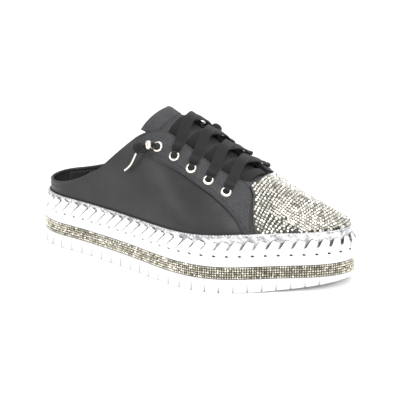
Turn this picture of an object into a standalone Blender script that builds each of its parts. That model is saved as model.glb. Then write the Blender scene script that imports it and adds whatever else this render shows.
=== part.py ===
"""A backless lace-up platform trainer for the right foot.

+X points to the toe, +Y to the wearer's left, +Z up, and the origin is under the
middle of the sole. Every size is in metres. The upper is one surface, worked out
from the sole's outline, a crown line and a fullness for each section, and every
panel, stay and strip that lies on it is cut from that same surface.
"""
import math

import bmesh
import bpy
import numpy as np

# Sole
SOLE_LENGTH = 0.262
BALL_WIDTH = 0.105
OUTSOLE_HEIGHT = 0.0107
BAND_HEIGHT = 0.0093
SOLE_HEIGHT = 0.0335
TOE_SPRING = 0.0072
SPRING_START = 0.058
TOE_TURN = 0.0106
HEEL_FULLNESS = 2.2
TOE_FULLNESS = 2.0
BAND_DEPTH = 0.0012
CUP_WALL = 0.0027
CUP_DEPTH = 0.0075
LUG_PITCH = 0.0114
LUG_GROOVE_WIDTH = 0.0017
LUG_GROOVE_DEPTH = 0.0024
LUG_GROOVE_HEIGHT = 0.0070
LUG_FREE_TOE = 0.012

# Whip stitch round the sole's top edge
STITCH_PITCH = 0.0095
STITCH_BASE = 0.0006
STITCH_RELIEF = 0.0011
STITCH_DROP = 0.0045
STITCH_CLIMB = 0.0042
STITCH_LEAN = 0.0056
STITCH_SEAT = 0.0014

# Upper
WALL = 0.0020
FEATHER_INSET = 0.0050
FOXING_SHOW = 0.0100
FOXING_THICKNESS = 0.0012
INSTEP_RISE = 0.0810
CORNER_RISE = 0.0737
CROWN_FRONT = 0.092
CROWN_BACK = 0.070
THROAT_GAP = 0.0200
THROAT_END = 0.060
THROAT_ROUND = 0.022
THROAT_TOP = -0.014
CAP_THICKNESS = 0.0010
STAY_THICKNESS = 0.0013
STAY_LEG_WIDTH = 0.0050
LEFT_DRAW = 0.72
TONGUE_THICKNESS = 0.0035
TONGUE_DEPTH = WALL + 0.0015
TONGUE_OVERLAP = 0.0050
TONGUE_TIP = -0.024
TONGUE_TIP_CURVE = 0.009
TONGUE_ROOT = 0.064
INSOLE_THICKNESS = 0.0035

# Lacing
EYELET_PAIRS = 5
EYELET_FIRST = -0.0125
EYELET_LAST = 0.0470
EYELET_FROM_CROWN = 0.0290
EYELET_SPREAD = 0.0040
EYELET_RADIUS = 0.0042
EYELET_BORE = 0.0021
EYELET_BARREL = 0.0027
EYELET_FLANGE = 0.0009
EYELET_BARREL_DROP = 0.0038
LACE_WIDTH = 0.0074
LACE_THICKNESS = 0.0016
LACE_LIFT = 0.0030
LACE_UNDER_LIFT = -0.0009
LACE_UNDER_SHIFT = 0.0062
LACE_UNDER_CLEAR = 0.0022
LACE_BAR_BACK = 0.0075
LACE_BAR_CLEAR = 0.0005
CORD_DIAMETER = 0.0034
KNOT_RADIUS = 0.0044
BEAD_RADIUS = 0.0036
BEAD_LENGTH = 0.0040
AGLET_DIAMETER = 0.0018

GAP = 0.0003
PANEL_GAP = 0.0005

# Shares of the sole's length, and half widths to each side as shares of the ball width.
OUTLINE = (
    # length, right side, left side
    (0.00, 0.277, 0.325),
    (0.14, 0.298, 0.334),
    (0.28, 0.367, 0.352),
    (0.42, 0.462, 0.362),
    (0.56, 0.567, 0.400),
    (0.70, 0.566, 0.448),
    (0.84, 0.421, 0.436),
    (1.00, 0.372, 0.361),
)
HEEL_ROUND = 0.14
TOE_ROUND = 0.29

# Sections of the upper: the strip's height over the sole as a share of FOXING_SHOW,
# the crown's rise over the strip as a share of INSTEP_RISE, how full the section is, and how
# much fuller it is on the left, where the foot is steeper.
SECTIONS = (
    # length, strip, crown, fullness, more on the left
    (0.00, 0.75, 1.050, 4.00, 0.00),
    (0.27, 0.70, 1.070, 2.60, 0.40),
    (0.37, 0.70, 1.050, 2.25, 0.90),
    (0.41, 0.70, 1.000, 2.00, 0.75),
    (0.50, 0.74, 0.852, 1.75, 0.60),
    (0.57, 0.80, 0.704, 1.62, 0.62),
    (0.66, 0.92, 0.507, 1.58, 0.34),
    (0.74, 1.05, 0.378, 1.38, -0.05),
    (0.84, 1.10, 0.232, 1.10, -0.03),
    (1.00, 1.12, 0.145, 1.06, 0.00),
)

# The crown line's sideways place, as a share of TOE_TURN.
CROWN_LINE = ((0.00, 0.0), (0.42, -0.10), (0.60, -0.10), (0.74, 0.20), (0.86, 0.66), (1.00, 1.0))

# The collar's height over the sole, as a share of CORNER_RISE.
COLLAR = (
    (0.02, 0.222), (0.06, 0.224), (0.115, 0.262), (0.16, 0.320), (0.20, 0.396), (0.25, 0.520),
    (0.31, 0.716), (0.355, 0.862), (0.382, 0.936), (0.405, 0.972), (0.431, 1.000), (0.450, 0.998),
)


def natural_spline(xs, ys):
    """A natural cubic curve through the points, as a function of x."""
    xs, ys = np.asarray(xs, float), np.asarray(ys, float)
    n = len(xs)
    h = np.diff(xs)
    matrix, side = np.eye(n), np.zeros(n)
    for i in range(1, n - 1):
        matrix[i, i - 1:i + 2] = h[i - 1], 2 * (h[i - 1] + h[i]), h[i]
        side[i] = 6 * ((ys[i + 1] - ys[i]) / h[i] - (ys[i] - ys[i - 1]) / h[i - 1])
    bend = np.linalg.solve(matrix, side)

    def value(x):
        x = np.clip(np.asarray(x, float), xs[0], xs[-1])
        i = np.clip(np.searchsorted(xs, x) - 1, 0, n - 2)
        a, b = xs[i + 1] - x, x - xs[i]
        cubic = (bend[i] * a ** 3 + bend[i + 1] * b ** 3) / (6 * h[i])
        line = (ys[i] / h[i] - bend[i] * h[i] / 6) * a + (ys[i + 1] / h[i] - bend[i + 1] * h[i] / 6) * b
        return cubic + line

    return value


def column(table, index):
    """One column of a table as a smooth function of the length's share."""
    rows = np.array(table, float)
    return natural_spline(rows[:, 0], rows[:, index])


def smoothstep(x, low, high):
    s = np.clip((np.asarray(x, float) - low) / (high - low), 0.0, 1.0)
    return s * s * (3 - 2 * s)


right_width, left_width = column(OUTLINE, 1), column(OUTLINE, 2)
strip_share, crown_share, right_fullness, left_extra = (column(SECTIONS, i) for i in (1, 2, 3, 4))
crown_line_share = column(CROWN_LINE, 1)
collar_share = column(COLLAR, 1)


def end_factor(u):
    """Rounds the outline off at the heel and at the toe."""
    heel = 1 - np.clip(1 - u / HEEL_ROUND, 0, 1) ** HEEL_FULLNESS
    toe = 1 - np.clip((u - (1 - TOE_ROUND)) / TOE_ROUND, 0, 1) ** TOE_FULLNESS
    return np.maximum(heel, 0) ** (1 / HEEL_FULLNESS) * np.maximum(toe, 0) ** (1 / TOE_FULLNESS)


def outline_raw(turn):
    """The sole's outline at an angle that runs from the heel by the right side to the toe and back."""
    turn = np.mod(np.asarray(turn, float), 2 * math.pi)
    u = 0.5 - 0.5 * np.cos(turn)
    centre = TOE_TURN * np.clip((u - 0.5) / 0.5, 0, 1) ** 2
    half = np.where(turn <= math.pi, -right_width(u), left_width(u)) * BALL_WIDTH * end_factor(u)
    return np.stack([(u - 0.5) * SOLE_LENGTH, centre + half], axis=-1)


def middle_of_outline():
    across = outline_raw(np.linspace(0, 2 * math.pi, 721))[:, 1]
    return 0.5 * (across.min() + across.max())


AXIS_SHIFT = -middle_of_outline()


def outline(turn, inset=0.0):
    """The outline moved inwards by an inset, centred on the sole."""
    step = 0.004
    ahead, behind = outline_raw(np.asarray(turn) + step), outline_raw(np.asarray(turn) - step)
    along = ahead - behind
    along /= np.linalg.norm(along, axis=-1, keepdims=True)
    outward = np.stack([along[..., 1], -along[..., 0]], axis=-1)
    flat = outline_raw(turn) - outward * np.asarray(inset)[..., None]
    return flat + np.array([0.0, AXIS_SHIFT])


def perimeter_table():
    turns = np.linspace(0, 2 * math.pi, 1441)
    run = np.linalg.norm(np.diff(outline(turns), axis=0), axis=1)
    return turns, np.concatenate([[0.0], np.cumsum(run)])


TURNS, RUNS = perimeter_table()
PERIMETER = RUNS[-1]


def turn_at(run):
    """The angle at a distance along the sole's edge."""
    return np.interp(np.mod(run, PERIMETER), RUNS, TURNS)


def crown_x(turn):
    """The place along the crown that a section at this angle climbs to."""
    lean = np.abs(math.pi - np.mod(turn, 2 * math.pi))
    share = np.abs(1 - lean / (math.pi / 2))
    half = SOLE_LENGTH / 2
    quarter = math.pi / 2
    front = CROWN_FRONT * (1 - (1 - share) ** (half * quarter / CROWN_FRONT))
    back = -CROWN_BACK * (1 - (1 - share) ** (half * quarter / CROWN_BACK))
    return np.where(lean <= quarter, front, back)


def length_share(x):
    return np.asarray(x, float) / SOLE_LENGTH + 0.5


def crown_y(x):
    return TOE_TURN * crown_line_share(length_share(x)) + AXIS_SHIFT


def strip_top(x):
    """Height of the silver strip's top edge, where the upper starts to curve in."""
    return SOLE_HEIGHT + FOXING_SHOW * strip_share(length_share(x))


def crown_height(x):
    return strip_top(x) + INSTEP_RISE * crown_share(length_share(x))


FEATHER_HEIGHT = SOLE_HEIGHT - CUP_DEPTH + GAP


def fullness(turn):
    share = length_share(crown_x(turn))
    left = np.clip(-np.sin(turn), 0, 1)
    return right_fullness(share) + left_extra(share) * smoothstep(left, 0.0, 0.7)


def upper_point(turn, level):
    """A point of the upper's outside. Level -1 is the lower edge, 0 the strip's top, 1 the crown."""
    turn, level = np.broadcast_arrays(np.asarray(turn, float), np.asarray(level, float))
    foot = outline(turn, FEATHER_INSET)
    x = crown_x(turn)
    top = np.stack([x, crown_y(x)], axis=-1)
    low = strip_top(foot[..., 0])
    crown = crown_height(x)
    power = fullness(turn)
    angle = np.clip(level, 0, 1) * math.pi / 2
    out, rise = np.cos(angle) ** (2 / power), np.sin(angle) ** (2 / power)
    flat = top + (foot - top) * out[..., None]
    wall = FEATHER_HEIGHT + (low - FEATHER_HEIGHT) * (np.clip(level, -1, 0) + 1)
    height = np.where(level < 0, wall, low + (crown - low) * rise)
    return np.concatenate([flat, height[..., None]], axis=-1)


def upper_normal(turn, level):
    step = 0.02
    turn, level = np.broadcast_arrays(np.asarray(turn, float), np.asarray(level, float))
    inner = np.clip(level, -0.98, 0.95)
    along = upper_point(turn + step, inner) - upper_point(turn - step, inner)
    across = upper_point(turn, inner + step) - upper_point(turn, inner - step)
    side = np.cross(along, across)
    side /= np.linalg.norm(side, axis=-1, keepdims=True)
    x, reach = crown_x(turn), 0.002
    slope = (crown_height(x + reach) - crown_height(x - reach)) / (2 * reach)
    top = np.stack([-slope, np.zeros_like(slope), np.ones_like(slope)], axis=-1)
    top /= np.linalg.norm(top, axis=-1, keepdims=True)
    share = np.clip((level - 0.95) / 0.05, 0, 1)[..., None]
    mixed = side * (1 - share) + top * share
    return mixed / np.linalg.norm(mixed, axis=-1, keepdims=True)


def upper_offset(turn, level, distance):
    return upper_point(turn, level) + upper_normal(turn, level) * np.asarray(distance)[..., None]


def level_at_height(turn, height):
    """The level at which the upper reaches a height."""
    foot = outline(turn, FEATHER_INSET)
    x = crown_x(turn)
    low = strip_top(foot[..., 0])
    crown = crown_height(x)
    rise = np.clip((height - low) / (crown - low), 0.0, 1.0)
    return np.arcsin(rise ** (fullness(turn) / 2)) / (math.pi / 2)


def level_at_out(turn, out):
    return np.arccos(np.clip(out, 0, 1) ** (fullness(turn) / 2)) / (math.pi / 2)


def locate(x, half, side):
    """Angle and level of the upper above a place given by x and its distance from the crown line.

    Side is -1 on the right and 1 on the left.
    """
    x, half = np.broadcast_arrays(np.asarray(x, float), np.asarray(half, float))
    goal = np.stack([x, crown_y(x) + side * half], axis=-1)
    low, high = np.full(x.shape, 0.05), np.full(x.shape, math.pi)

    def miss(lean):
        turn = lean if side < 0 else 2 * math.pi - lean
        foot = outline(turn, FEATHER_INSET)
        top = np.stack([crown_x(turn), crown_y(crown_x(turn))], axis=-1)
        line, reach = foot - top, goal - top
        return -side * (line[..., 0] * reach[..., 1] - line[..., 1] * reach[..., 0])

    for _ in range(40):
        middle = 0.5 * (low + high)
        ahead = miss(middle) > 0
        low, high = np.where(ahead, middle, low), np.where(ahead, high, middle)
    lean = 0.5 * (low + high)
    turn = lean if side < 0 else 2 * math.pi - lean
    foot = outline(turn, FEATHER_INSET)
    top = np.stack([crown_x(turn), crown_y(crown_x(turn))], axis=-1)
    out = np.linalg.norm(goal - top, axis=-1) / np.linalg.norm(foot - top, axis=-1)
    return turn, level_at_out(turn, out)


def over_upper(x, half, side, distance):
    """A point at a distance over the upper, by its place in plan."""
    turn, level = locate(x, half, side)
    return upper_offset(turn, level, distance)


def throat_half(x):
    """Half the throat's width at x, rounded off at its front end."""
    x = np.asarray(x, float)
    end = np.clip((x - (THROAT_END - THROAT_ROUND)) / THROAT_ROUND, 0, 1)
    return THROAT_GAP * np.sqrt(1 - end ** 2)


def top_level(turn):
    """The level of the upper's top edge: the collar, then the throat, then the closed crown."""
    x = crown_x(turn)
    foot = outline(turn, FEATHER_INSET)
    station = np.where(x < THROAT_TOP, foot[..., 0], x)
    collar = level_at_height(turn, SOLE_HEIGHT + CORNER_RISE * collar_share(length_share(station)))
    top = np.stack([x, crown_y(x)], axis=-1)
    span = np.linalg.norm(foot - top, axis=-1)
    throat = level_at_out(turn, throat_half(x) / span)
    return np.where(x > THROAT_END - 1e-6, 1.0,
                    collar + (throat - collar) * smoothstep(x, THROAT_TOP - 0.003, THROAT_TOP + 0.005))


def material(name, colour, roughness, metallic=0.0):
    made = bpy.data.materials.get(name)
    if made is None:
        made = bpy.data.materials.new(name)
        made.use_nodes = True
        shader = made.node_tree.nodes["Principled BSDF"]
        shader.inputs["Base Color"].default_value = (*colour, 1.0)
        shader.inputs["Roughness"].default_value = roughness
        shader.inputs["Metallic"].default_value = metallic
    return made


def white_rubber():
    return material("white_rubber", (0.78, 0.79, 0.80), 0.45)


def black_leather():
    return material("black_leather", (0.012, 0.012, 0.013), 0.42)


def grained_leather():
    return material("grained_leather", (0.030, 0.031, 0.034), 0.55)


def silver_foil():
    return material("silver_foil", (0.72, 0.72, 0.72), 0.18, 1.0)


def stone_cloth():
    return material("stone_cloth", (0.50, 0.48, 0.42), 0.28, 0.8)


def lace_cloth():
    return material("lace_cloth", (0.010, 0.010, 0.011), 0.85)


def polished_metal():
    return material("polished_metal", (0.80, 0.76, 0.70), 0.20, 1.0)


def lining_cloth():
    return material("lining_cloth", (0.62, 0.62, 0.61), 0.80)


def link(name, mesh, finish, collection):
    mesh.name = name
    mesh.materials.clear()
    mesh.materials.append(finish)
    thing = bpy.data.objects.new(name, mesh)
    collection.objects.link(thing)
    return thing


def grid_mesh(name, rows, closed_rows=False, closed_ring=False):
    """A mesh through rows of points. Rows may close on themselves, and so may the run of rows."""
    rows = np.asarray(rows, float)
    count, width = rows.shape[:2]
    faces = []
    for i in range(count if closed_ring else count - 1):
        a, b = i * width, (i + 1) % count * width
        for j in range(width if closed_rows else width - 1):
            k = (j + 1) % width
            faces.append((a + j, b + j, b + k, a + k))
    mesh = bpy.data.meshes.new(name)
    mesh.from_pydata([tuple(p) for p in rows.reshape(-1, 3)], [], faces)
    weld(mesh)
    return mesh


def weld(mesh, distance=2e-6):
    work = bmesh.new()
    work.from_mesh(mesh)
    bmesh.ops.remove_doubles(work, verts=work.verts, dist=distance)
    bmesh.ops.dissolve_degenerate(work, edges=work.edges, dist=distance)
    work.to_mesh(mesh)
    work.free()


def face_out(mesh):
    work = bmesh.new()
    work.from_mesh(mesh)
    bmesh.ops.recalc_face_normals(work, faces=work.faces)
    work.to_mesh(mesh)
    work.free()


def ring_rows(turns, section):
    """Rows for a ring on the sole's edge: section gives (inset, height) pairs for each angle."""
    return [[(*outline(turn, inset), height) for inset, height in section(turn)] for turn in turns]


def shell(name, rows, thickness, outwards, finish, collection):
    """An open surface given a wall by Solidify."""
    mesh = grid_mesh(name, rows)
    thing = link(name, mesh, finish, collection)
    wall = thing.modifiers.new("wall", "SOLIDIFY")
    wall.thickness = thickness
    wall.offset = 1.0 if outwards else -1.0
    wall.use_quality_normals = True
    mesh.shade_smooth()
    return thing


def even_turns(count):
    return turn_at((np.arange(count) + 0.5) / count * PERIMETER)


def capped_prism(name, turns, rings, finish, collection):
    """A solid through rings of the outline, flat at both ends. Rings are (inset, height) pairs."""
    rows = [[(*outline(turn, inset), height) for turn in turns] for inset, height in rings]
    mesh = grid_mesh(name, rows, closed_rows=True)
    work = bmesh.new()
    work.from_mesh(mesh)
    bmesh.ops.holes_fill(work, edges=[e for e in work.edges if e.is_boundary], sides=0)
    bmesh.ops.recalc_face_normals(work, faces=work.faces)
    work.to_mesh(mesh)
    work.free()
    return link(name, mesh, finish, collection)


def lug_turns():
    """Angles for the outsole's edge: three at each groove, and one on the lug between."""
    count = round(PERIMETER / LUG_PITCH)
    pitch = PERIMETER / count
    runs, depth = [], []
    for i in range(count):
        middle = (i + 0.5) * pitch
        free = outline(turn_at(middle))[0] > SOLE_LENGTH / 2 - LUG_FREE_TOE
        for side, cut in ((-0.5, 0.0), (0.0, 1.0), (0.5, 0.0)):
            runs.append(middle + side * LUG_GROOVE_WIDTH)
            depth.append(0.0 if free else cut)
        runs.append(middle + 0.5 * pitch)
        depth.append(0.0)
    return turn_at(np.array(runs)), np.array(depth) * LUG_GROOVE_DEPTH


def make_outsole(collection):
    turns, cuts = lug_turns()
    levels = ((cuts, 0.0), (cuts * 0.0, LUG_GROOVE_HEIGHT), (cuts * 0.0, OUTSOLE_HEIGHT))
    rows = [np.column_stack([outline(turns, inset), np.full(len(turns), height)]) for inset, height in levels]
    mesh = grid_mesh("outsole", rows, closed_rows=True)
    work = bmesh.new()
    work.from_mesh(mesh)
    bmesh.ops.holes_fill(work, edges=[e for e in work.edges if e.is_boundary], sides=0)
    for share in (0.0, 0.25, 0.45, 0.65, 0.85):
        x = SPRING_START + share * (SOLE_LENGTH / 2 - SPRING_START)
        geometry = work.verts[:] + work.edges[:] + work.faces[:]
        bmesh.ops.bisect_plane(work, geom=geometry, dist=1e-6, plane_co=(x, 0, 0), plane_no=(1, 0, 0))
    for vertex in work.verts:
        share = max(0.0, (vertex.co.x - SPRING_START) / (SOLE_LENGTH / 2 - SPRING_START))
        vertex.co.z += TOE_SPRING * share ** 2 * (1 - vertex.co.z / OUTSOLE_HEIGHT)
    bmesh.ops.triangulate(work, faces=work.faces)
    bmesh.ops.recalc_face_normals(work, faces=work.faces)
    work.to_mesh(mesh)
    work.free()
    return link("outsole", mesh, white_rubber(), collection)


def make_midsole(collection):
    low, seat = OUTSOLE_HEIGHT + GAP, BAND_DEPTH + GAP
    step = OUTSOLE_HEIGHT + BAND_HEIGHT + 2 * GAP
    floor = SOLE_HEIGHT - CUP_DEPTH
    shoulder = SOLE_HEIGHT - STITCH_DROP - GAP
    rings = ((seat, low), (seat, step), (0.0, step), (0.0, shoulder), (STITCH_SEAT, shoulder),
             (STITCH_SEAT, SOLE_HEIGHT), (CUP_WALL, SOLE_HEIGHT), (CUP_WALL, floor))
    return capped_prism("midsole", even_turns(64), rings, white_rubber(), collection)


def make_band(collection):
    low = OUTSOLE_HEIGHT + GAP
    high = low + BAND_HEIGHT
    section = ((0.0, low), (0.0, high), (BAND_DEPTH, high), (BAND_DEPTH, low))
    rows = ring_rows(even_turns(64), lambda turn: section)
    mesh = grid_mesh("rhinestone_band", rows, closed_rows=True, closed_ring=True)
    face_out(mesh)
    return link("rhinestone_band", mesh, stone_cloth(), collection)


def make_whipstitch(collection):
    """A strap wound over the sole's top edge, as one ring with its turns raised and leaning."""
    count = round(PERIMETER / STITCH_PITCH)
    pitch = PERIMETER / count
    inner = STITCH_SEAT - GAP
    outer = inner - STITCH_BASE
    top = SOLE_HEIGHT + GAP
    strip = FEATHER_INSET - 2 * GAP - FOXING_THICKNESS
    bottom = SOLE_HEIGHT - STITCH_DROP
    crest = SOLE_HEIGHT + STITCH_CLIMB
    # inset, height, relief as a share, lean as a share
    profile = (
        (inner, bottom, 0.0, 0.0), (outer, bottom, 0.2, 0.0), (outer, SOLE_HEIGHT - 0.0008, 1.0, 0.5),
        (strip - 0.0010, crest - 0.0004, 0.6, 1.0), (strip, crest - 0.0008, 0.0, 1.0), (strip, top, 0.0, 0.6),
        (inner, top, 0.0, 0.6),
    )
    rows = []
    for i in range(count):
        for phase, raised in ((0.0, 0.0), (0.5, 1.0)):
            row = []
            for inset, height, relief, lean in profile:
                turn = turn_at((i + phase) * pitch + lean * STITCH_LEAN)
                lift = raised * relief * STITCH_RELIEF
                sideways = lift if height < crest else 0.0
                upwards = lift * 0.7 if height > SOLE_HEIGHT else 0.0
                row.append((*outline(turn, inset - sideways), height + upwards))
            rows.append(row)
    mesh = grid_mesh("whipstitch", rows, closed_rows=True, closed_ring=True)
    face_out(mesh)
    return link("whipstitch", mesh, white_rubber(), collection)


def turn_for_crown(x):
    """The right side's angle whose section climbs to x on the crown."""
    turns = np.linspace(math.pi / 2, math.pi, 721)
    return float(np.interp(x, crown_x(turns), turns))


def upper_turns():
    """Angles of the upper's sections all round, closer together at the throat's end."""
    regular = np.radians(np.arange(0, 181, 6.0))
    extra = [turn_for_crown(THROAT_END - d) for d in (0.0, 0.0008, 0.0025, 0.005)]
    kept = [t for t in regular if min(abs(t - e) for e in extra) > math.radians(1.0)]
    right = np.array(sorted(kept + extra))
    return np.concatenate([right, (2 * math.pi - right[::-1])[1:]])


def make_foxing(collection):
    """The silver strip round the upper's foot, on the upper's own sections."""
    outer = FEATHER_INSET - GAP - FOXING_THICKNESS
    inner = FEATHER_INSET - GAP

    def section(turn):
        high = float(strip_top(outline(turn, FEATHER_INSET)[0]))
        return ((outer, FEATHER_HEIGHT), (outer, high), (inner, high), (inner, FEATHER_HEIGHT))

    mesh = grid_mesh("foxing_strip", ring_rows(upper_turns()[:-1], section), closed_rows=True, closed_ring=True)
    face_out(mesh)
    return link("foxing_strip", mesh, silver_foil(), collection)


def make_upper(collection):
    turns = upper_turns()
    climbs = (0.08, 0.25, 0.42, 0.60, 0.80, 1.0)
    tops = top_level(turns)
    rows = []
    for turn, top in zip(turns, tops):
        levels = np.concatenate([[-1.0, 0.0], np.array(climbs) * top])
        rows.append(upper_point(turn, levels))
    return shell("upper", rows, WALL, False, black_leather(), collection)


# The eyestay's edges in plan along the throat: x, and the distance from the crown line.
STAY_UPPER_EDGE = (
    (-0.0315, 0.0290), (-0.0250, 0.0260), (-0.0190, 0.0225), (-0.0120, 0.0202), (-0.0050, 0.0200),
    (0.0100, 0.0200), (0.0250, 0.0200), (0.0380, 0.0198), (0.0480, 0.0176), (0.0560, 0.0176),
)
STAY_LOWER_EDGE = (
    (-0.0345, 0.0310), (-0.0290, 0.0320), (-0.0230, 0.0328), (-0.0150, 0.0338), (-0.0060, 0.0347),
    (0.0100, 0.0358), (0.0250, 0.0373), (0.0380, 0.0392), (0.0490, 0.0415), (0.0560, 0.0434),
)
# The front edge turns down to the strip here, and the leg behind it ends at the strip.
STAY_TURN = (0.0630, 0.0240)
STAY_FOOT = 0.0745
LEG_TOP = (0.0615, 0.0448)


def side_half(half, side):
    """A distance from the crown line, drawn in on the steeper left side."""
    half = np.asarray(half, float)
    return half if side < 0 else np.minimum(half, THROAT_GAP) + np.maximum(half - THROAT_GAP, 0) * LEFT_DRAW


def low_level(turn):
    """The level just over the silver strip's top edge."""
    return level_at_height(turn, strip_top(outline(turn, FEATHER_INSET)[..., 0]) + GAP)


def turn_at_foot(x, side):
    """The angle at which the upper's lower edge passes x."""
    turns = np.linspace(math.pi / 4, math.pi, 721)
    turns = turns if side < 0 else 2 * math.pi - turns
    return float(np.interp(x, outline(turns, FEATHER_INSET)[:, 0], turns))


def leg_edge(top, foot_x, side, count):
    """Angles and levels from a place on the stay down to the strip, without the first."""
    turn, level = locate(top[0], side_half(top[1], side), side)
    end = turn_at_foot(foot_x, side)
    share = np.linspace(0, 1, count + 1)[1:]
    turns = turn + (end - turn) * share
    levels = level * (1 - share)
    levels[-1] = low_level(turns[-1])
    return turns, levels


def plan_edge(places, side):
    """Angles and levels of places in plan, kept under the collar's edge."""
    edge = np.array(places)
    turn, level = locate(edge[:, 0], side_half(edge[:, 1], side), side)
    return turn, np.minimum(level, top_level(turn))


def stay_front(side, ahead, count=4):
    """The eyestay's front edge, from the throat's end down to the strip."""
    turn_x, turn_half = STAY_TURN
    first = plan_edge(((turn_x + ahead, turn_half),), side)
    rest = leg_edge((turn_x + ahead, turn_half), STAY_FOOT + ahead, side, count)
    return np.concatenate([first[0], rest[0]]), np.concatenate([first[1], rest[1]])


def finer(edge, parts=2):
    """The same run of angles and levels with more places between them."""
    turn, level = edge
    index = np.linspace(0, len(turn) - 1, (len(turn) - 1) * parts + 1)
    whole = np.arange(len(turn))
    return np.interp(index, whole, turn), np.interp(index, whole, level)


def make_stay(name, side, collection):
    """The eyestay from the collar's corner along the throat, and down beside the toe cap."""
    upper_edge, lower_edge = plan_edge(STAY_UPPER_EDGE, side), plan_edge(STAY_LOWER_EDGE, side)
    front = stay_front(side, 0.0)
    back_top = plan_edge((LEG_TOP,), side)
    back = leg_edge(LEG_TOP, STAY_FOOT - STAY_LEG_WIDTH, side, 4)
    upper_edge = [np.concatenate(pair) for pair in zip(upper_edge, front)]
    lower_edge = [np.concatenate(trio) for trio in zip(lower_edge, back_top, back)]
    upper_edge, lower_edge = finer(upper_edge), finer(lower_edge)
    rows = []
    share = np.linspace(0, 1, 5)
    for turn_a, level_a, turn_b, level_b in zip(*upper_edge, *lower_edge):
        turns = turn_a + (turn_b - turn_a) * share
        levels = level_a + (level_b - level_a) * share
        rows.append(upper_offset(turns, levels, PANEL_GAP))
    if side < 0:
        rows = rows[::-1]
    return shell(name, rows, STAY_THICKNESS, True, grained_leather(), collection)


def make_cap(collection):
    """The toe cap, from the throat's end and the eyestays round the toe."""
    ahead = PANEL_GAP * 2
    throat = ((THROAT_END + ahead, 0.0), (THROAT_END + ahead * 0.6, 0.0060), (THROAT_END - 0.0004, 0.0120),
              (STAY_UPPER_EDGE[-1][0] + ahead * 2, STAY_UPPER_EDGE[-1][1]))
    columns = {}
    for side in (-1, 1):
        near, front = plan_edge(throat, side), stay_front(side, ahead)
        turn, level = finer([np.concatenate(pair) for pair in zip(near, front)])
        level[0] = 1.0
        even = np.linspace(1, 0, len(level))
        rows = []
        for share in np.linspace(0, 1, 10):
            angle = turn + (math.pi - turn) * share
            height = level + (even - level) * share
            height[-1] = low_level(angle[-1])
            rows.append(upper_offset(angle, height, PANEL_GAP))
        columns[side] = rows
    for right, left in zip(columns[-1], columns[1]):
        right[0] = left[0] = 0.5 * (right[0] + left[0])
    rows = columns[-1] + columns[1][-2::-1]
    rows = [row[::-1] for row in rows]
    return shell("toe_cap", rows, CAP_THICKNESS, True, stone_cloth(), collection)


def make_tongue(collection):
    """The padded tongue under the throat, with its top edge standing over the collar's corners."""
    half = THROAT_GAP + TONGUE_OVERLAP
    depth = -TONGUE_DEPTH
    across = np.linspace(-1, 1, 9)
    rows = []
    for share in np.linspace(0, 1, 13):
        row = []
        for place in across:
            tip = TONGUE_TIP - TONGUE_TIP_CURVE * place ** 2
            x = TONGUE_ROOT + (tip - TONGUE_ROOT) * share
            width = half * (0.72 + 0.28 * smoothstep(share, 0.0, 0.35))
            row.append(over_upper(x, abs(place) * float(width), -1 if place < 0 else 1, depth))
        rows.append(row)
    return shell("tongue", rows[::-1], TONGUE_THICKNESS, False, grained_leather(), collection)


def make_insole(collection):
    inset = FEATHER_INSET + WALL + 2 * GAP
    rings = ((inset, FEATHER_HEIGHT), (inset, FEATHER_HEIGHT + INSOLE_THICKNESS))
    return capped_prism("insole", even_turns(48), rings, lining_cloth(), collection)


def eyelet_places():
    """x of each pair of eyelets, from the top pair down."""
    return np.linspace(EYELET_FIRST, EYELET_LAST, EYELET_PAIRS)


def eyelet_half(x):
    """An eyelet's distance from the crown line, which grows down the row."""
    return EYELET_FROM_CROWN + EYELET_SPREAD * (x - EYELET_FIRST) / (EYELET_LAST - EYELET_FIRST)


def eyelet_frame(x, side):
    """The place on the eyestay's face under an eyelet, and the way its axis points."""
    turn, level = locate(x, side_half(eyelet_half(x), side), side)
    axis = upper_normal(turn, level)
    return upper_offset(turn, level, PANEL_GAP + STAY_THICKNESS), axis


def cross_axes(axis):
    first = np.cross(axis, (1.0, 0.0, 0.0))
    first /= np.linalg.norm(first)
    return first, np.cross(axis, first)


def turned_ring(name, centre, axis, section, sides, finish, collection):
    """A ring turned about an axis: section gives (radius, height) pairs."""
    first, second = cross_axes(axis)
    rows = []
    for k in range(sides):
        angle = 2 * math.pi * k / sides
        outward = first * math.cos(angle) + second * math.sin(angle)
        rows.append([centre + outward * radius + axis * height for radius, height in section])
    mesh = grid_mesh(name, rows, closed_rows=True, closed_ring=True)
    face_out(mesh)
    mesh.shade_smooth()
    return link(name, mesh, finish, collection)


def make_eyelets(collection):
    section = (
        (EYELET_BORE, -EYELET_BARREL_DROP), (EYELET_BORE, EYELET_FLANGE), (EYELET_RADIUS, GAP),
        (EYELET_BARREL, GAP), (EYELET_BARREL, -EYELET_BARREL_DROP),
    )
    for side, word in ((-1, "right"), (1, "left")):
        for number, x in enumerate(eyelet_places(), start=1):
            centre, axis = eyelet_frame(x, side)
            turned_ring(f"eyelet_{word}_{number}", centre, axis, section, 8, polished_metal(), collection)


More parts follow.
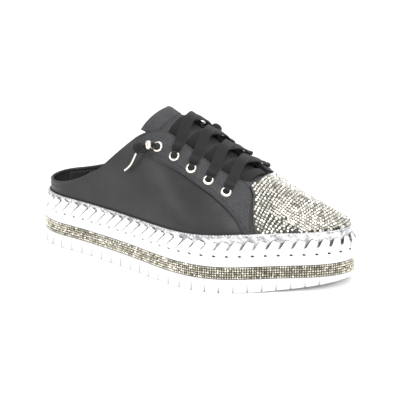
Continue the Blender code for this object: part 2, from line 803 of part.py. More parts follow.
def punch_eyelet_holes(side, things, cutters):
    """Holes for one side's eyelets through the upper and the eyestay."""
    for number, x in enumerate(eyelet_places(), start=1):
        centre, axis = eyelet_frame(x, side)
        first, second = cross_axes(axis)
        rows = []
        for height in (-0.006, 0.003):
            ring = 2 * math.pi * np.arange(8) / 8
            rows.append([centre + axis * height + (EYELET_BARREL + GAP) * 1.03 *
                         (first * math.cos(a) + second * math.sin(a)) for a in ring])
        mesh = grid_mesh("eyelet_hole", rows, closed_rows=True)
        work = bmesh.new()
        work.from_mesh(mesh)
        bmesh.ops.holes_fill(work, edges=[e for e in work.edges if e.is_boundary], sides=0)
        bmesh.ops.recalc_face_normals(work, faces=work.faces)
        work.to_mesh(mesh)
        work.free()
        cutter = link(f"eyelet_hole_{side}_{number}", mesh, polished_metal(), cutters)
        cutter.hide_render = True
        cutter.display_type = "WIRE"
        for thing in things:
            cut = thing.modifiers.new(f"hole_{side}_{number}", "BOOLEAN")
            cut.operation = "DIFFERENCE"
            cut.object = cutter


def ribbon(name, points, normals, width, thickness, finish, collection):
    """A flat lace through points, lying across the given normals."""
    points, normals = np.array(points), np.array(normals)
    along = np.gradient(points, axis=0)
    along /= np.linalg.norm(along, axis=1, keepdims=True)
    across = np.cross(normals, along)
    across /= np.linalg.norm(across, axis=1, keepdims=True)
    up = np.cross(along, across)
    w, t = width / 2, thickness / 2
    corners = ((-w, -t), (-w, t * 0.3), (-w * 0.8, t), (w * 0.8, t), (w, t * 0.3), (w, -t))
    rows = [[p + a * i + u * j for i, j in corners] for p, a, u in zip(points, across, up)]
    mesh = grid_mesh(name, rows, closed_rows=True)
    work = bmesh.new()
    work.from_mesh(mesh)
    bmesh.ops.holes_fill(work, edges=[e for e in work.edges if e.is_boundary], sides=0)
    bmesh.ops.recalc_face_normals(work, faces=work.faces)
    work.to_mesh(mesh)
    work.free()
    return link(name, mesh, finish, collection)


def lace_run(start, end, lifts, count=10):
    """Points and normals over the throat between two places, each x and signed distance from the crown."""
    points, normals = [], []
    for share in np.linspace(0, 1, count):
        x = start[0] + (end[0] - start[0]) * share
        offset = start[1] + (end[1] - start[1]) * share
        side = -1 if offset < 0 else 1
        turn, level = locate(x, side_half(abs(offset), side), side)
        points.append(upper_offset(turn, level, float(lifts(share))))
        normals.append(upper_normal(turn, level))
    return points, normals


def make_laces(collection, cutters):
    """Each crossing is two flat runs joined: out of an eyelet, over the tongue, under the far edge."""
    places = eyelet_places()
    under = THROAT_GAP - LACE_UNDER_CLEAR
    for i in range(EYELET_PAIRS - 1):
        made = []
        for side, hump in ((-1, 0.0), (1, LACE_THICKNESS * 0.7)):
            over = eyelet_half(places[i + 1]) - EYELET_RADIUS - GAP * 2
            start = (places[i + 1], side * over)
            end = (places[i] + LACE_UNDER_SHIFT, -side * under)

            def lifts(share, hump=hump):
                drop = (LACE_LIFT - LACE_UNDER_LIFT) * smoothstep(share, 0.62, 1.0)
                return LACE_LIFT - drop + hump * math.exp(-((share - 0.55) / 0.13) ** 2)

            points, normals = lace_run(start, end, lifts)
            made.append(ribbon(f"lace_crossing_{i + 1}", points, normals, LACE_WIDTH, LACE_THICKNESS,
                               lace_cloth(), collection if side < 0 else cutters))
        made[1].hide_render = True
        made[1].display_type = "WIRE"
        made[1].name = f"lace_run_{i + 1}"
        joined = made[0].modifiers.new("joined", "BOOLEAN")
        joined.operation = "UNION"
        joined.object = made[1]
    x = THROAT_END - LACE_BAR_BACK
    reach = float(throat_half(x + LACE_WIDTH / 2)) - LACE_UNDER_CLEAR
    lift = LACE_BAR_CLEAR + LACE_THICKNESS / 2 - TONGUE_DEPTH
    points, normals = lace_run((x, -reach), (x, reach), lambda share: lift)
    ribbon("lace_bar", points, normals, LACE_WIDTH, LACE_THICKNESS, lace_cloth(), collection)


def cord(name, points, radius, finish, collection, resolution=2):
    curve = bpy.data.curves.new(name, "CURVE")
    curve.dimensions = "3D"
    curve.bevel_depth = radius
    curve.bevel_resolution = resolution
    curve.use_fill_caps = True
    spline = curve.splines.new("POLY")
    spline.points.add(len(points) - 1)
    for point, place in zip(spline.points, points):
        point.co = (*place, 1.0)
    curve.materials.append(finish)
    thing = bpy.data.objects.new(name, curve)
    collection.objects.link(thing)
    return thing


def smooth_route(places, count):
    """Points on one smooth curve through a route's own places, evenly spaced."""
    places = np.array(places)
    run = np.concatenate([[0.0], np.cumsum(np.linalg.norm(np.diff(places, axis=0), axis=1))])
    curves = [natural_spline(run, places[:, axis]) for axis in range(3)]
    fine = np.linspace(0, run[-1], 200)
    dense = np.stack([curve(fine) for curve in curves], axis=1)
    length = np.concatenate([[0.0], np.cumsum(np.linalg.norm(np.diff(dense, axis=0), axis=1))])
    even = np.linspace(0, length[-1], count)
    return np.stack([np.interp(even, length, dense[:, axis]) for axis in range(3)], axis=1)


# Each lace end's own places: x, distance from the crown line, height over the upper's face.
LACE_ENDS = {
    "right": {
        "cord": ((-0.0125, 0.0290, -0.0035), (-0.0125, 0.0290, 0.0030), (-0.0135, 0.0292, 0.0062),
                 (-0.0165, 0.0298, 0.0078), (-0.0200, 0.0304, 0.0078)),
        "bead": 0.78,
        "knot": (-0.0245, 0.0312, 0.0074),
        "tail": ((-0.0275, 0.0335, 0.0050), (-0.0310, 0.0350, 0.0036), (-0.0375, 0.0352, 0.0030)),
    },
    "left": {
        "cord": ((-0.0125, 0.0290, -0.0035), (-0.0125, 0.0290, 0.0030), (-0.0110, 0.0290, 0.0062),
                 (-0.0075, 0.0290, 0.0080), (-0.0038, 0.0290, 0.0080)),
        "bead": 0.78,
        "knot": (0.0008, 0.0292, 0.0076),
        "tail": ((0.0050, 0.0300, 0.0062), (0.0105, 0.0310, 0.0052), (0.0170, 0.0316, 0.0046)),
    },
}


def make_lace_end(word, side, collection):
    """What comes out of a top eyelet: the cord, a bead on it, its knot and the tipped tail."""
    end = LACE_ENDS[word]
    route = [over_upper(x, side_half(half, side), side, lift) for x, half, lift in end["cord"]]
    knot = over_upper(end["knot"][0], side_half(end["knot"][1], side), side, end["knot"][2])
    way = (knot - route[-1]) / np.linalg.norm(knot - route[-1])
    route.append(knot - way * (KNOT_RADIUS + GAP))
    points = smooth_route(route, 14)
    cord(f"lace_end_{word}", points, CORD_DIAMETER / 2, lace_cloth(), collection)
    index = int(round(end["bead"] * (len(points) - 1)))
    axis = points[index + 1] - points[index - 1]
    axis /= np.linalg.norm(axis)
    hole, rim, half = CORD_DIAMETER / 2 + GAP, BEAD_RADIUS, BEAD_LENGTH / 2
    section = ((hole, -half), (rim - 0.0008, -half), (rim, -half * 0.4), (rim, half * 0.4),
               (rim - 0.0008, half), (hole, half))
    turned_ring(f"bead_{word}", points[index], axis, section, 14, polished_metal(), collection)
    mesh = bpy.data.meshes.new(f"lace_knot_{word}")
    work = bmesh.new()
    bmesh.ops.create_icosphere(work, subdivisions=2, radius=KNOT_RADIUS)
    for vertex in work.verts:
        vertex.co.x += knot[0]
        vertex.co.y += knot[1]
        vertex.co.z += knot[2]
    work.to_mesh(mesh)
    work.free()
    mesh.shade_smooth()
    link(f"lace_knot_{word}", mesh, lace_cloth(), collection)
    tail = [over_upper(x, side_half(half, side), side, lift) for x, half, lift in end["tail"]]
    way = (tail[0] - knot) / np.linalg.norm(tail[0] - knot)
    tail = smooth_route([knot + way * (KNOT_RADIUS + GAP)] + tail, 8)
    cord(f"aglet_{word}", tail, AGLET_DIAMETER / 2, polished_metal(), collection)


def main():
    for thing in list(bpy.data.objects):
        bpy.data.objects.remove(thing, do_unlink=True)
    collection = bpy.data.collections.new("platform_trainer")
    cutters = bpy.data.collections.new("cutters")
    bpy.context.scene.collection.children.link(collection)
    bpy.context.scene.collection.children.link(cutters)
    make_outsole(collection)
    make_midsole(collection)
    make_band(collection)
    make_whipstitch(collection)
    make_foxing(collection)
    upper = make_upper(collection)
    make_cap(collection)
    make_tongue(collection)
    make_insole(collection)
    for word, side in (("right", -1), ("left", 1)):
        stay = make_stay(f"eyestay_{word}", side, collection)
        punch_eyelet_holes(side, (upper, stay), cutters)
    make_eyelets(collection)
    make_laces(collection, cutters)
    make_lace_end("right", -1, collection)
    make_lace_end("left", 1, collection)


main()
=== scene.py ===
import math

import bpy
import numpy as np
from mathutils import Matrix, Vector


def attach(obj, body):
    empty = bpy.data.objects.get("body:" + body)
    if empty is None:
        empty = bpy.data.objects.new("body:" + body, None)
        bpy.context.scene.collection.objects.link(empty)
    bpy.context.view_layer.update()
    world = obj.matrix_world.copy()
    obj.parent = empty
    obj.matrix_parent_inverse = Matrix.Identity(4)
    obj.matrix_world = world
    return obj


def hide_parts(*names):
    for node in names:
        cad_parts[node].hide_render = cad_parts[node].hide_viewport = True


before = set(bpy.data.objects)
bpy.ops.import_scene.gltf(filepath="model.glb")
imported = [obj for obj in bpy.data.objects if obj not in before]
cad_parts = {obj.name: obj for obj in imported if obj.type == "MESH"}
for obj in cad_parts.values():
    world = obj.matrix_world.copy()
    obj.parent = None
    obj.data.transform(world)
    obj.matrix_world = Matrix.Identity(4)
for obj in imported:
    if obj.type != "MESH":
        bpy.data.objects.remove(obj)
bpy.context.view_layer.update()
bpy.ops.object.select_all(action="DESELECT")
scene = bpy.context.scene
print("frame loaded:", len(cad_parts), "nodes")

# the trainer's own sizes, in metres: the sole, then the upper over it
form = {
    "soleLength": 0.262, "ballWidth": 0.105, "outsoleHeight": 0.0107, "bandHeight": 0.0093,
    "soleHeight": 0.0335, "toeSpring": 0.0072, "springStart": 0.058, "toeTurn": 0.0106,
    "heelRound": 0.14, "toeRound": 0.29, "heelFullness": 2.2, "toeFullness": 2.0,
    "cupDepth": 0.0075, "cupWall": 0.0027, "featherInset": 0.0050, "foilShow": 0.0100,
    "instepRise": 0.0810, "cornerRise": 0.0737, "crownFront": 0.092, "crownBack": 0.070,
    "throatGap": 0.0200, "throatEnd": 0.060, "throatRound": 0.022, "throatTop": -0.014,
    "wall": 0.0020, "leftDraw": 0.72, "panelGap": 0.0005, "gap": 0.0003,
}

# shares of the sole's length, and half widths to each side as shares of the ball width
outlineTable = np.array([
    (0.00, 0.277, 0.325), (0.14, 0.298, 0.334), (0.28, 0.367, 0.352), (0.42, 0.462, 0.362),
    (0.56, 0.567, 0.400), (0.70, 0.566, 0.448), (0.84, 0.421, 0.436), (1.00, 0.372, 0.361)])

# length, strip height, crown rise, fullness of the section, more of it on the left
sectionTable = np.array([
    (0.00, 0.75, 1.050, 4.00, 0.00), (0.27, 0.70, 1.070, 2.60, 0.40), (0.37, 0.70, 1.050, 2.25, 0.90),
    (0.41, 0.70, 1.000, 2.00, 0.75), (0.50, 0.74, 0.852, 1.75, 0.60), (0.57, 0.80, 0.704, 1.62, 0.62),
    (0.66, 0.92, 0.507, 1.58, 0.34), (0.74, 1.05, 0.378, 1.38, -0.05), (0.84, 1.10, 0.232, 1.10, -0.03),
    (1.00, 1.12, 0.145, 1.06, 0.00)])

crownTable = np.array([(0.00, 0.0), (0.42, -0.10), (0.60, -0.10), (0.74, 0.20), (0.86, 0.66), (1.00, 1.0)])

collarTable = np.array([
    (0.02, 0.222), (0.06, 0.224), (0.115, 0.262), (0.16, 0.320), (0.20, 0.396), (0.25, 0.520),
    (0.31, 0.716), (0.355, 0.862), (0.382, 0.936), (0.405, 0.972), (0.431, 1.000), (0.450, 0.998)])


def naturalSpline(xs, ys):
    xs, ys = np.asarray(xs, float), np.asarray(ys, float)
    n = len(xs)
    h = np.diff(xs)
    matrix, side = np.eye(n), np.zeros(n)
    for i in range(1, n - 1):
        matrix[i, i - 1:i + 2] = h[i - 1], 2 * (h[i - 1] + h[i]), h[i]
        side[i] = 6 * ((ys[i + 1] - ys[i]) / h[i] - (ys[i] - ys[i - 1]) / h[i - 1])
    bend = np.linalg.solve(matrix, side)

    def value(x):
        x = np.clip(np.asarray(x, float), xs[0], xs[-1])
        i = np.clip(np.searchsorted(xs, x) - 1, 0, n - 2)
        a, b = xs[i + 1] - x, x - xs[i]
        cubic = (bend[i] * a ** 3 + bend[i + 1] * b ** 3) / (6 * h[i])
        line = (ys[i] / h[i] - bend[i] * h[i] / 6) * a + (ys[i + 1] / h[i] - bend[i + 1] * h[i] / 6) * b
        return cubic + line

    return value


def smoothStep(x, low, high):
    s = np.clip((np.asarray(x, float) - low) / (high - low), 0.0, 1.0)
    return s * s * (3 - 2 * s)


def unit(vectors):
    return vectors / np.maximum(np.linalg.norm(vectors, axis=-1, keepdims=True), 1e-12)


rightWidth, leftWidth = (naturalSpline(outlineTable[:, 0], outlineTable[:, i]) for i in (1, 2))
stripShare, crownShare, rightFullness, leftExtra = (
    naturalSpline(sectionTable[:, 0], sectionTable[:, i]) for i in (1, 2, 3, 4))
crownLine = naturalSpline(crownTable[:, 0], crownTable[:, 1])
collarShare = naturalSpline(collarTable[:, 0], collarTable[:, 1])


def endFactor(u):
    heel = 1 - np.clip(1 - u / form["heelRound"], 0, 1) ** form["heelFullness"]
    toe = 1 - np.clip((u - (1 - form["toeRound"])) / form["toeRound"], 0, 1) ** form["toeFullness"]
    return np.maximum(heel, 0) ** (1 / form["heelFullness"]) * np.maximum(toe, 0) ** (1 / form["toeFullness"])


def outlineRaw(turn):
    # the angle runs from the heel by the right side to the toe, and back by the left
    turn = np.mod(np.asarray(turn, float), 2 * math.pi)
    u = 0.5 - 0.5 * np.cos(turn)
    centre = form["toeTurn"] * np.clip((u - 0.5) / 0.5, 0, 1) ** 2
    half = np.where(turn <= math.pi, -rightWidth(u), leftWidth(u)) * form["ballWidth"] * endFactor(u)
    return np.stack([(u - 0.5) * form["soleLength"], centre + half], axis=-1)


acrossSole = outlineRaw(np.linspace(0, 2 * math.pi, 721))[:, 1]
axisShift = -0.5 * (acrossSole.min() + acrossSole.max())


def outline(turn, inset=0.0):
    step = 0.004
    along = unit(outlineRaw(np.asarray(turn) + step) - outlineRaw(np.asarray(turn) - step))
    outward = np.stack([along[..., 1], -along[..., 0]], axis=-1)
    return outlineRaw(turn) - outward * np.asarray(inset)[..., None] + np.array([0.0, axisShift])


runTurns = np.linspace(0, 2 * math.pi, 2881)
runs = np.concatenate([[0.0], np.cumsum(np.linalg.norm(np.diff(outline(runTurns), axis=0), axis=1))])
perimeter = runs[-1]


def turnAt(run):
    return np.interp(np.mod(run, perimeter), runs, runTurns)


def crownX(turn):
    lean = np.abs(math.pi - np.mod(turn, 2 * math.pi))
    share = np.abs(1 - lean / (math.pi / 2))
    half, quarter = form["soleLength"] / 2, math.pi / 2
    front = form["crownFront"] * (1 - (1 - share) ** (half * quarter / form["crownFront"]))
    back = -form["crownBack"] * (1 - (1 - share) ** (half * quarter / form["crownBack"]))
    return np.where(lean <= quarter, front, back)


def lengthShare(x):
    return np.asarray(x, float) / form["soleLength"] + 0.5


def crownY(x):
    return form["toeTurn"] * crownLine(lengthShare(x)) + axisShift


def stripTop(x):
    return form["soleHeight"] + form["foilShow"] * stripShare(lengthShare(x))


def crownHeight(x):
    return stripTop(x) + form["instepRise"] * crownShare(lengthShare(x))


featherHeight = form["soleHeight"] - form["cupDepth"] + form["gap"]


def fullness(turn):
    share = lengthShare(crownX(turn))
    return rightFullness(share) + leftExtra(share) * smoothStep(np.clip(-np.sin(turn), 0, 1), 0.0, 0.7)


def upperPoint(turn, level):
    # level -1 is the upper's lower edge, 0 the strip's top and 1 the crown
    turn, level = np.broadcast_arrays(np.asarray(turn, float), np.asarray(level, float))
    foot = outline(turn, form["featherInset"])
    x = crownX(turn)
    top = np.stack([x, crownY(x)], axis=-1)
    low, crown, power = stripTop(foot[..., 0]), crownHeight(x), fullness(turn)
    angle = np.clip(level, 0, 1) * math.pi / 2
    out, rise = np.cos(angle) ** (2 / power), np.sin(angle) ** (2 / power)
    wall = featherHeight + (low - featherHeight) * (np.clip(level, -1, 0) + 1)
    height = np.where(level < 0, wall, low + (crown - low) * rise)
    return np.concatenate([top + (foot - top) * out[..., None], height[..., None]], axis=-1)


def upperNormal(turn, level):
    step = 0.02
    turn, level = np.broadcast_arrays(np.asarray(turn, float), np.asarray(level, float))
    inner = np.clip(level, -0.98, 0.95)
    along = upperPoint(turn + step, inner) - upperPoint(turn - step, inner)
    across = upperPoint(turn, inner + step) - upperPoint(turn, inner - step)
    side = unit(np.cross(along, across))
    x, reach = crownX(turn), 0.002
    slope = (crownHeight(x + reach) - crownHeight(x - reach)) / (2 * reach)
    top = unit(np.stack([-slope, np.zeros_like(slope), np.ones_like(slope)], axis=-1))
    share = np.clip((level - 0.95) / 0.05, 0, 1)[..., None]
    return unit(side * (1 - share) + top * share)


def overUpper(turn, level, distance):
    return upperPoint(turn, level) + upperNormal(turn, level) * np.asarray(distance)[..., None]


def levelAtHeight(turn, height):
    foot = outline(turn, form["featherInset"])
    low, crown = stripTop(foot[..., 0]), crownHeight(crownX(turn))
    rise = np.clip((height - low) / (crown - low), 0.0, 1.0)
    return np.arcsin(rise ** (fullness(turn) / 2)) / (math.pi / 2)


def levelAtOut(turn, out):
    return np.arccos(np.clip(out, 0, 1) ** (fullness(turn) / 2)) / (math.pi / 2)


def locate(x, half, side):
    # angle and level of the upper over a place in plan: x, and the distance from the crown line
    x, half = np.broadcast_arrays(np.asarray(x, float), np.asarray(half, float))
    goal = np.stack([x, crownY(x) + side * half], axis=-1)
    low, high = np.full(x.shape, 0.05), np.full(x.shape, math.pi)
    for _ in range(34):
        lean = 0.5 * (low + high)
        turn = lean if side < 0 else 2 * math.pi - lean
        foot = outline(turn, form["featherInset"])
        top = np.stack([crownX(turn), crownY(crownX(turn))], axis=-1)
        line, reach = foot - top, goal - top
        ahead = -side * (line[..., 0] * reach[..., 1] - line[..., 1] * reach[..., 0]) > 0
        low, high = np.where(ahead, lean, low), np.where(ahead, high, lean)
    out = np.linalg.norm(goal - top, axis=-1) / np.linalg.norm(foot - top, axis=-1)
    return turn, levelAtOut(turn, out)


def sideHalf(half, side):
    half, gap = np.asarray(half, float), form["throatGap"]
    return half if side < 0 else np.minimum(half, gap) + np.maximum(half - gap, 0) * form["leftDraw"]


def placeOver(x, half, side, distance):
    turn, level = locate(x, sideHalf(half, side), side)
    return overUpper(turn, level, distance), upperNormal(turn, level)


def throatHalf(x):
    end = np.clip((np.asarray(x, float) - (form["throatEnd"] - form["throatRound"])) / form["throatRound"], 0, 1)
    return form["throatGap"] * np.sqrt(1 - end ** 2)


def topLevel(turn):
    x = crownX(turn)
    foot = outline(turn, form["featherInset"])
    station = np.where(x < form["throatTop"], foot[..., 0], x)
    collar = levelAtHeight(turn, form["soleHeight"] + form["cornerRise"] * collarShare(lengthShare(station)))
    span = np.linalg.norm(foot - np.stack([x, crownY(x)], axis=-1), axis=-1)
    throat = levelAtOut(turn, throatHalf(x) / span)
    mixed = collar + (throat - collar) * smoothStep(x, form["throatTop"] - 0.003, form["throatTop"] + 0.005)
    return np.where(x > form["throatEnd"] - 1e-6, 1.0, mixed)


def lowLevel(turn):
    return levelAtHeight(turn, stripTop(outline(turn, form["featherInset"])[..., 0]) + form["gap"])


print("form worked out, edge", round(perimeter, 4), "m")

# camera at the photograph's angle
camera = {"azimuth": 30.01, "elevation": 18.66, "distance": 1.501, "aimHeight": 0.030, "lens": 175.42,
          "shiftX": 0.01765, "shiftY": 0.0548}


def makeCamera():
    a, e = math.radians(camera["azimuth"]), math.radians(camera["elevation"])
    back = Vector((math.sin(a) * math.cos(e), -math.cos(a) * math.cos(e), math.sin(e)))
    right = Vector((math.cos(a), math.sin(a), 0.0))
    eye = Vector((0.0, axisShift, camera["aimHeight"])) + back * camera["distance"]
    bpy.ops.object.camera_add(location=eye)
    thing = bpy.context.object
    thing.matrix_world = Matrix.Translation(eye) @ Matrix((right, back.cross(right), back)).transposed().to_4x4()
    thing.data.lens, thing.data.sensor_width = camera["lens"], 36
    thing.data.shift_x, thing.data.shift_y = camera["shiftX"], camera["shiftY"]
    thing.data.clip_start = 0.05
    scene.camera = thing


makeCamera()


class Wire:
    # a socket that does sums: each operator adds its Math node
    def __init__(self, paint, socket):
        self.paint, self.socket = paint, socket

    def sum(self, operation, other, flipped=False):
        pair = (other, self) if flipped else (self, other)
        return self.paint.node("ShaderNodeMath", {"operation": operation}, {0: pair[0], 1: pair[1]})

    def __add__(self, other):
        return self.sum("ADD", other)

    def __radd__(self, other):
        return self.sum("ADD", other, True)

    def __sub__(self, other):
        return self.sum("SUBTRACT", other)

    def __rsub__(self, other):
        return self.sum("SUBTRACT", other, True)

    def __mul__(self, other):
        return self.sum("MULTIPLY", other)

    def __rmul__(self, other):
        return self.sum("MULTIPLY", other, True)

    def __pow__(self, other):
        return self.sum("POWER", other)


class Paint:
    # one material and its nodes
    def __init__(self, name, colour, roughness, metallic=0.0, **fixed):
        self.material = bpy.data.materials.new(name)
        self.material.use_nodes = True
        self.tree = self.material.node_tree
        self.shader = self.tree.nodes["Principled BSDF"]
        self.put(0, colour, "Base Color")
        self.shader.inputs["Roughness"].default_value = roughness
        self.shader.inputs["Metallic"].default_value = metallic
        for key, value in fixed.items():
            self.shader.inputs[key.replace("_", " ")].default_value = value

    def put(self, _, value, socket):
        target = self.shader.inputs[socket]
        if isinstance(value, Wire):
            self.tree.links.new(value.socket, target)
        else:
            target.default_value = (*value, 1.0) if isinstance(value, tuple) and len(value) == 3 else value

    def node(self, kind, settings=None, sockets=None, out=0):
        made = self.tree.nodes.new(kind)
        for key, value in (settings or {}).items():
            if key == "stops":
                for stop, (place, colour) in zip(made.color_ramp.elements, value):
                    stop.position, stop.color = place, (*colour, 1.0)
            else:
                setattr(made, key, value)
        for key, value in (sockets or {}).items():
            if isinstance(value, Wire):
                self.tree.links.new(value.socket, made.inputs[key])
            else:
                made.inputs[key].default_value = value
        return Wire(self, made.outputs[out])

    def place(self):
        return self.node("ShaderNodeTexCoord", out="Object")

    def stretched(self, scale, source=None):
        return self.node("ShaderNodeMapping", None, {"Vector": source or self.place(), "Scale": scale})

    def noise(self, scale, detail=3.0, roughness=0.55, source=None):
        return self.node("ShaderNodeTexNoise", None, {
            "Vector": source or self.place(), "Scale": scale, "Detail": detail, "Roughness": roughness})

    def cells(self, scale, source=None, feature="SMOOTH_F1"):
        return self.node("ShaderNodeTexVoronoi", {"feature": feature}, {
            "Vector": source or self.place(), "Scale": scale}, out="Distance")

    def between(self, value, low, high, bottom, top):
        return self.node("ShaderNodeMapRange", None, {0: value, 1: low, 2: high, 3: bottom, 4: top})

    def blendColours(self, factor, first, second):
        mix = self.tree.nodes.new("ShaderNodeMix")
        mix.data_type = "RGBA"
        if isinstance(factor, Wire):
            self.tree.links.new(factor.socket, mix.inputs[0])
        else:
            mix.inputs[0].default_value = factor
        for socket, colour in ((6, first), (7, second)):
            if isinstance(colour, Wire):
                self.tree.links.new(colour.socket, mix.inputs[socket])
            else:
                mix.inputs[socket].default_value = (*colour, 1.0)
        return Wire(self, mix.outputs[2])

    def colour(self, wire):
        self.put(0, wire, "Base Color")

    def rough(self, wire):
        self.put(0, wire, "Roughness")

    def raised(self, height, distance, strength=1.0):
        bump = self.node("ShaderNodeBump", None, {"Height": height, "Distance": distance, "Strength": strength},
                         out="Normal")
        self.put(0, bump, "Normal")


def makeRubber():
    paint = Paint("whiteRubber", (0.80, 0.805, 0.815), 0.48)
    mottle = paint.noise(90, 4)
    paint.colour(paint.blendColours(paint.between(mottle, 0.35, 0.7, 0.0, 1.0), (0.745, 0.75, 0.765),
                                    (0.80, 0.805, 0.81)))
    paint.rough(paint.between(paint.noise(260, 3), 0.3, 0.7, 0.40, 0.58))
    paint.raised(paint.noise(1500, 2), 0.00012, 0.5)
    return paint.material


def makeStrapLeather():
    paint = Paint("whiteStrap", (0.83, 0.83, 0.82), 0.42)
    paint.colour(paint.blendColours(paint.between(paint.noise(150, 3), 0.35, 0.7, 0.0, 1.0),
                                    (0.76, 0.76, 0.75), (0.84, 0.84, 0.83)))
    paint.rough(paint.between(paint.noise(500, 3), 0.3, 0.7, 0.34, 0.50))
    paint.raised(paint.noise(900, 4), 0.0002, 0.5)
    return paint.material


def makeSmoothLeather():
    paint = Paint("blackLeather", (0.014, 0.014, 0.0155), 0.40, Specular_IOR_Level=0.42)
    cloud = paint.noise(38, 4)
    pores = paint.cells(1500) * 0.6 + paint.noise(2600, 3) * 0.5
    paint.colour(paint.blendColours(paint.between(cloud, 0.35, 0.68, 0.0, 1.0), (0.010, 0.010, 0.011),
                                    (0.021, 0.021, 0.023)))
    paint.rough(paint.between(cloud + pores * 0.2, 0.4, 0.95, 0.33, 0.50))
    paint.raised(pores + paint.noise(120, 3) * 0.8, 0.00022, 0.55)
    return paint.material


def makeGrainedLeather():
    paint = Paint("grainedLeather", (0.035, 0.036, 0.039), 0.50, Specular_IOR_Level=0.5)
    pebbles = paint.cells(820, feature="DISTANCE_TO_EDGE")
    fine = paint.noise(1900, 3)
    valleys = paint.between(pebbles, 0.0, 0.22, 0.0, 1.0)
    # the colour is darker in the valleys between the pebbles: painted shade in the grain's recesses
    paint.colour(paint.blendColours(valleys, (0.016, 0.016, 0.018), (0.046, 0.047, 0.051)))
    paint.rough(paint.between(valleys + fine * 0.4, 0.1, 1.3, 0.62, 0.44))
    paint.raised(valleys + fine * 0.35, 0.00030, 0.8)
    return paint.material


def makeFoil():
    paint = Paint("silverFoil", (0.80, 0.80, 0.81), 0.12, 1.0)
    crushAndPaintedReflection = paint.noise(160, 4, 0.6)
    # dark patches in the foil's colour over the same noise that crinkles it: painted dark reflections
    paint.colour(paint.blendColours(paint.between(crushAndPaintedReflection, 0.40, 0.62, 0.0, 1.0), (0.34, 0.34, 0.36),
                                    (0.86, 0.86, 0.87)))
    paint.rough(paint.between(paint.noise(420, 3), 0.3, 0.7, 0.07, 0.24))
    paint.raised(crushAndPaintedReflection + paint.noise(620, 3) * 0.35, 0.0010, 0.8)
    return paint.material


def makeRopeThread():
    paint = Paint("silverThread", (0.62, 0.62, 0.62), 0.35, 0.6)
    paint.raised(paint.noise(3000, 2), 0.0002, 0.5)
    paint.colour(paint.blendColours(paint.between(paint.noise(700, 2), 0.35, 0.65, 0.0, 1.0),
                                    (0.30, 0.30, 0.31), (0.80, 0.80, 0.80)))
    return paint.material


def makeStone(name, dark, light):
    paint = Paint(name, light, 0.12, 0.85)
    # each stone's colour and gloss run from dark to bright by a per-stone value: painted glint on some stones, painted
    # shade on others
    shade = paint.node("ShaderNodeAttribute", {"attribute_name": "stonePaintedGlint"}, out="Fac")
    paint.colour(paint.blendColours(shade, dark, light))
    paint.rough(paint.between(shade, 0.0, 1.0, 0.22, 0.07))
    return paint.material


def makeStoneCloth():
    paint = Paint("stoneCloth", (0.045, 0.043, 0.038), 0.75)
    paint.colour(paint.blendColours(paint.noise(1800, 2), (0.020, 0.019, 0.017), (0.075, 0.072, 0.062)))
    paint.raised(paint.noise(2400, 2), 0.0002, 0.6)
    return paint.material


def makeLaceCloth():
    paint = Paint("blackLace", (0.0085, 0.0085, 0.009), 0.85, Specular_IOR_Level=0.25, Sheen_Weight=0.12,
                  Sheen_Roughness=0.5)
    uv = paint.node("ShaderNodeUVMap", {"uv_map": "UVMap"})
    ribs = paint.node("ShaderNodeTexWave", {"wave_type": "BANDS", "bands_direction": "DIAGONAL"}, {
        "Vector": paint.stretched((1500, 900, 1), uv), "Scale": 0.25, "Distortion": 0.6, "Detail": 1.0}, out="Fac")
    weft = paint.node("ShaderNodeTexWave", {"wave_type": "BANDS", "bands_direction": "X"}, {
        "Vector": paint.stretched((1700, 1700, 1), uv), "Scale": 0.32, "Distortion": 0.3}, out="Fac")
    weave = ribs * 0.6 + weft * 0.4
    paint.colour(paint.blendColours(weave, (0.0045, 0.0045, 0.005), (0.0145, 0.0145, 0.015)))
    paint.raised(weave, 0.00022, 0.7)
    return paint.material


def makeMetal():
    paint = Paint("paleMetal", (0.86, 0.82, 0.74), 0.18, 1.0)
    paint.rough(paint.between(paint.noise(600, 3), 0.3, 0.7, 0.12, 0.28))
    paint.colour(paint.blendColours(paint.noise(300, 2), (0.78, 0.73, 0.64), (0.90, 0.87, 0.81)))
    return paint.material


def makeLining():
    paint = Paint("paleLining", (0.66, 0.66, 0.65), 0.85)
    paint.colour(paint.blendColours(paint.between(paint.noise(240, 4), 0.35, 0.7, 0.0, 1.0),
                                    (0.60, 0.60, 0.59), (0.72, 0.72, 0.71)))
    paint.raised(paint.noise(2200, 3), 0.0003, 0.6)
    return paint.material


def makeThread(name, colour):
    paint = Paint(name, colour, 0.55)
    paint.raised(paint.noise(4000, 2), 0.0001, 0.6)
    paint.colour(paint.blendColours(paint.noise(900, 2), tuple(c * 0.7 for c in colour),
                                    tuple(min(1.0, c * 1.3) for c in colour)))
    return paint.material


def makeDark():
    # black for the strip's piping; the same black is the painted shade in the strap holes
    paint = Paint("darkCordAndHoleShade", (0.012, 0.012, 0.013), 0.5)
    paint.rough(paint.between(paint.noise(800, 2), 0.3, 0.7, 0.4, 0.7))
    return paint.material


looks = {
    "rubber": makeRubber(), "strap": makeStrapLeather(), "leather": makeSmoothLeather(),
    "grained": makeGrainedLeather(), "foil": makeFoil(), "rope": makeRopeThread(),
    # the stones' dark and light colours are their painted shade and painted glint
    "bandStone": makeStone("bandStone", (0.20, 0.185, 0.14), (0.90, 0.86, 0.74)),
    "capStone": makeStone("capStone", (0.22, 0.205, 0.17), (0.92, 0.90, 0.84)),
    "stoneCloth": makeStoneCloth(), "lace": makeLaceCloth(), "metal": makeMetal(), "lining": makeLining(),
    "blackThread": makeThread("blackThread", (0.022, 0.022, 0.024)),
    "greyThread": makeThread("greyThread", (0.10, 0.10, 0.11)), "dark": makeDark(),
}
print("finishes made:", len(looks))


